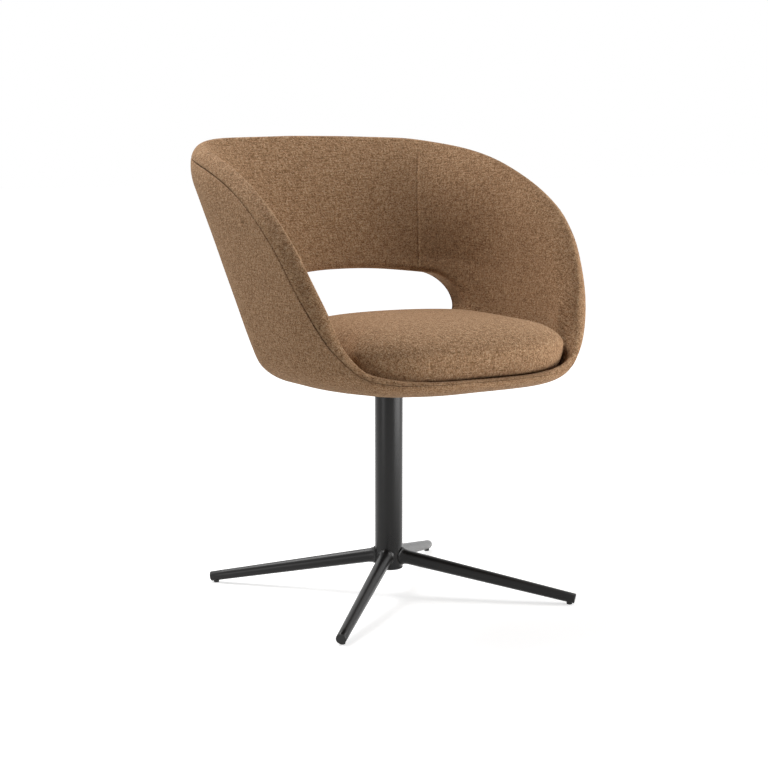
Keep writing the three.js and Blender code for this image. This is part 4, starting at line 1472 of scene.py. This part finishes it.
for i in range(1, 5):
    leg = make_leg(f"tapered_leg_{i}", math.radians(90 * i - 45))
    show(leg.name, leg, "base", "black_steel", (f"leg_{i}",))
print("legs: 4 at", round(leg_reach * 1000), "mm from the axis")

# %% [markdown]
# ## The frame's own parts
# Every part of the frame gets the finish of its slot. Most of the hard parts are seen as the frame has
# them, and those that a piece above stands for are hidden. A part's name says what it is made of. The slots
# are tried in this order, so that a dust cover is felt, not fabric, and a leg's plug is plastic, not steel.

# %% Finish the frame's parts
slot_words = {
    "dust_felt": ("dust",),
    "black_plastic": ("plug", "glide", "cap"),
    "zinc_steel": ("screw", "bolt", "nut", "retaining"),
    "turned_steel": ("spindle", "thrust"),
    "bushing_nylon": ("bushing",),
    "moulded_ply": ("core", "board"),
    "soft_foam": ("foam",),
    "black_steel": ("leg", "tube", "seat_plate"),
    "woven_fabric": ("cover", "pad", "facing"),
}
for node, part in frame["nodes"].items():
    slot = next(slot for slot, words in slot_words.items() if any(word in node for word in words))
    part.data.materials.clear()
    part.data.materials.append(finish_of_slot[slot])
print("frame parts finished:", len(frame["nodes"]))

# %% [markdown]
# ## Floor and light
# The chair stands on a plain pale floor. Two large soft lamps give most of the light, one over its back and
# one low at its right, so that the inside of the rear corner falls into shade. Three weaker ones fill in.
# The background is white only for what sees it: the camera, and the rays that metal reflects or glass lets
# through. It adds no light to the chair. The floor glows more the farther it is, up to the white of the
# backdrop, and so the chair keeps its shadow and no edge shows far away.

# %% Light the chair
floor_paint = 0.8
glow_from = 0.6
glow_to = 3.0
near_glow = 0.62
far_glow = 1.0
world_light = 0.06
lamp_aim = Vector((0, 0, 0.45))
lamps = {
    "top": ((-0.5, 1.1, 2.6), 1.6, 1.6, 62),
    "back left": ((-1.8, 1.6, 1.8), 1.4, 1.4, 11),
    "left": ((-2.4, -0.5, 0.45), 1.0, 1.0, 8),
    "right": ((1.8, -1.9, 0.5), 2.6, 0.9, 60),
    "top right": ((2.0, -0.6, 1.9), 1.4, 1.4, 18),
}


def seen_directly(nodes):
    """1 for rays from the camera and for those that metal or glass sends on, and 0 for light."""
    seen = nodes.node("LightPath", {}, {}, "Is Camera Ray")
    for kind in ("Is Glossy Ray", "Is Transmission Ray"):
        seen = seen.math("MAXIMUM", nodes.node("LightPath", {}, {}, kind))
    return seen


def make_floor():
    bpy.ops.mesh.primitive_plane_add(size=40)
    floor = bpy.context.object
    floor.name = "floor"
    material = bpy.data.materials.new("pale_floor")
    nodes = Nodes(material)
    paint = nodes.node("BsdfDiffuse", {}, {"Color": (floor_paint, floor_paint, floor_paint, 1)})
    place = nodes.node("TexCoord", {}, {}, "Object")
    distance = nodes.node("VectorMath", {"operation": "LENGTH"}, {0: place}, "Value")
    reach = {"From Min": glow_from, "From Max": glow_to, "To Min": near_glow, "To Max": far_glow}
    level = nodes.node("MapRange", {}, {"Value": distance, **reach})
    glow = nodes.node("Emission", {}, {"Color": level, "Strength": seen_directly(nodes)})
    nodes.surface(nodes.node("AddShader", {}, {0: paint, 1: glow}))
    floor.data.materials.append(material)


def make_world():
    world = bpy.data.worlds.new("studio")
    bpy.context.scene.world = world
    nodes = Nodes(world)
    dim, white = (nodes.node("Background", {}, {0: (1, 1, 1, 1), 1: level}) for level in (world_light, 1.0))
    nodes.surface(nodes.node("MixShader", {}, {0: seen_directly(nodes), 1: dim, 2: white}))


def make_lamp(name, place, width, height, power):
    """A soft rectangle of light that faces the chair."""
    lamp = bpy.data.objects.new(name, bpy.data.lights.new(name, "AREA"))
    bpy.context.scene.collection.objects.link(lamp)
    lamp.location = place
    lamp.rotation_euler = (lamp_aim - Vector(place)).to_track_quat("-Z", "Y").to_euler()
    lamp.data.shape = "RECTANGLE"
    lamp.data.size = width
    lamp.data.size_y = height
    lamp.data.energy = power
    lamp.visible_camera = False


make_floor()
make_world()
for name, (place, width, height, power) in lamps.items():
    make_lamp(name, place, width, height, power)
print("light: a soft world and", len(lamps), "lamps")

# %% [markdown]
# ## Keep the colours
# The picture keeps colours as they are written.

# %% Keep the colours as written
bpy.context.scene.view_settings.view_transform = "Standard"
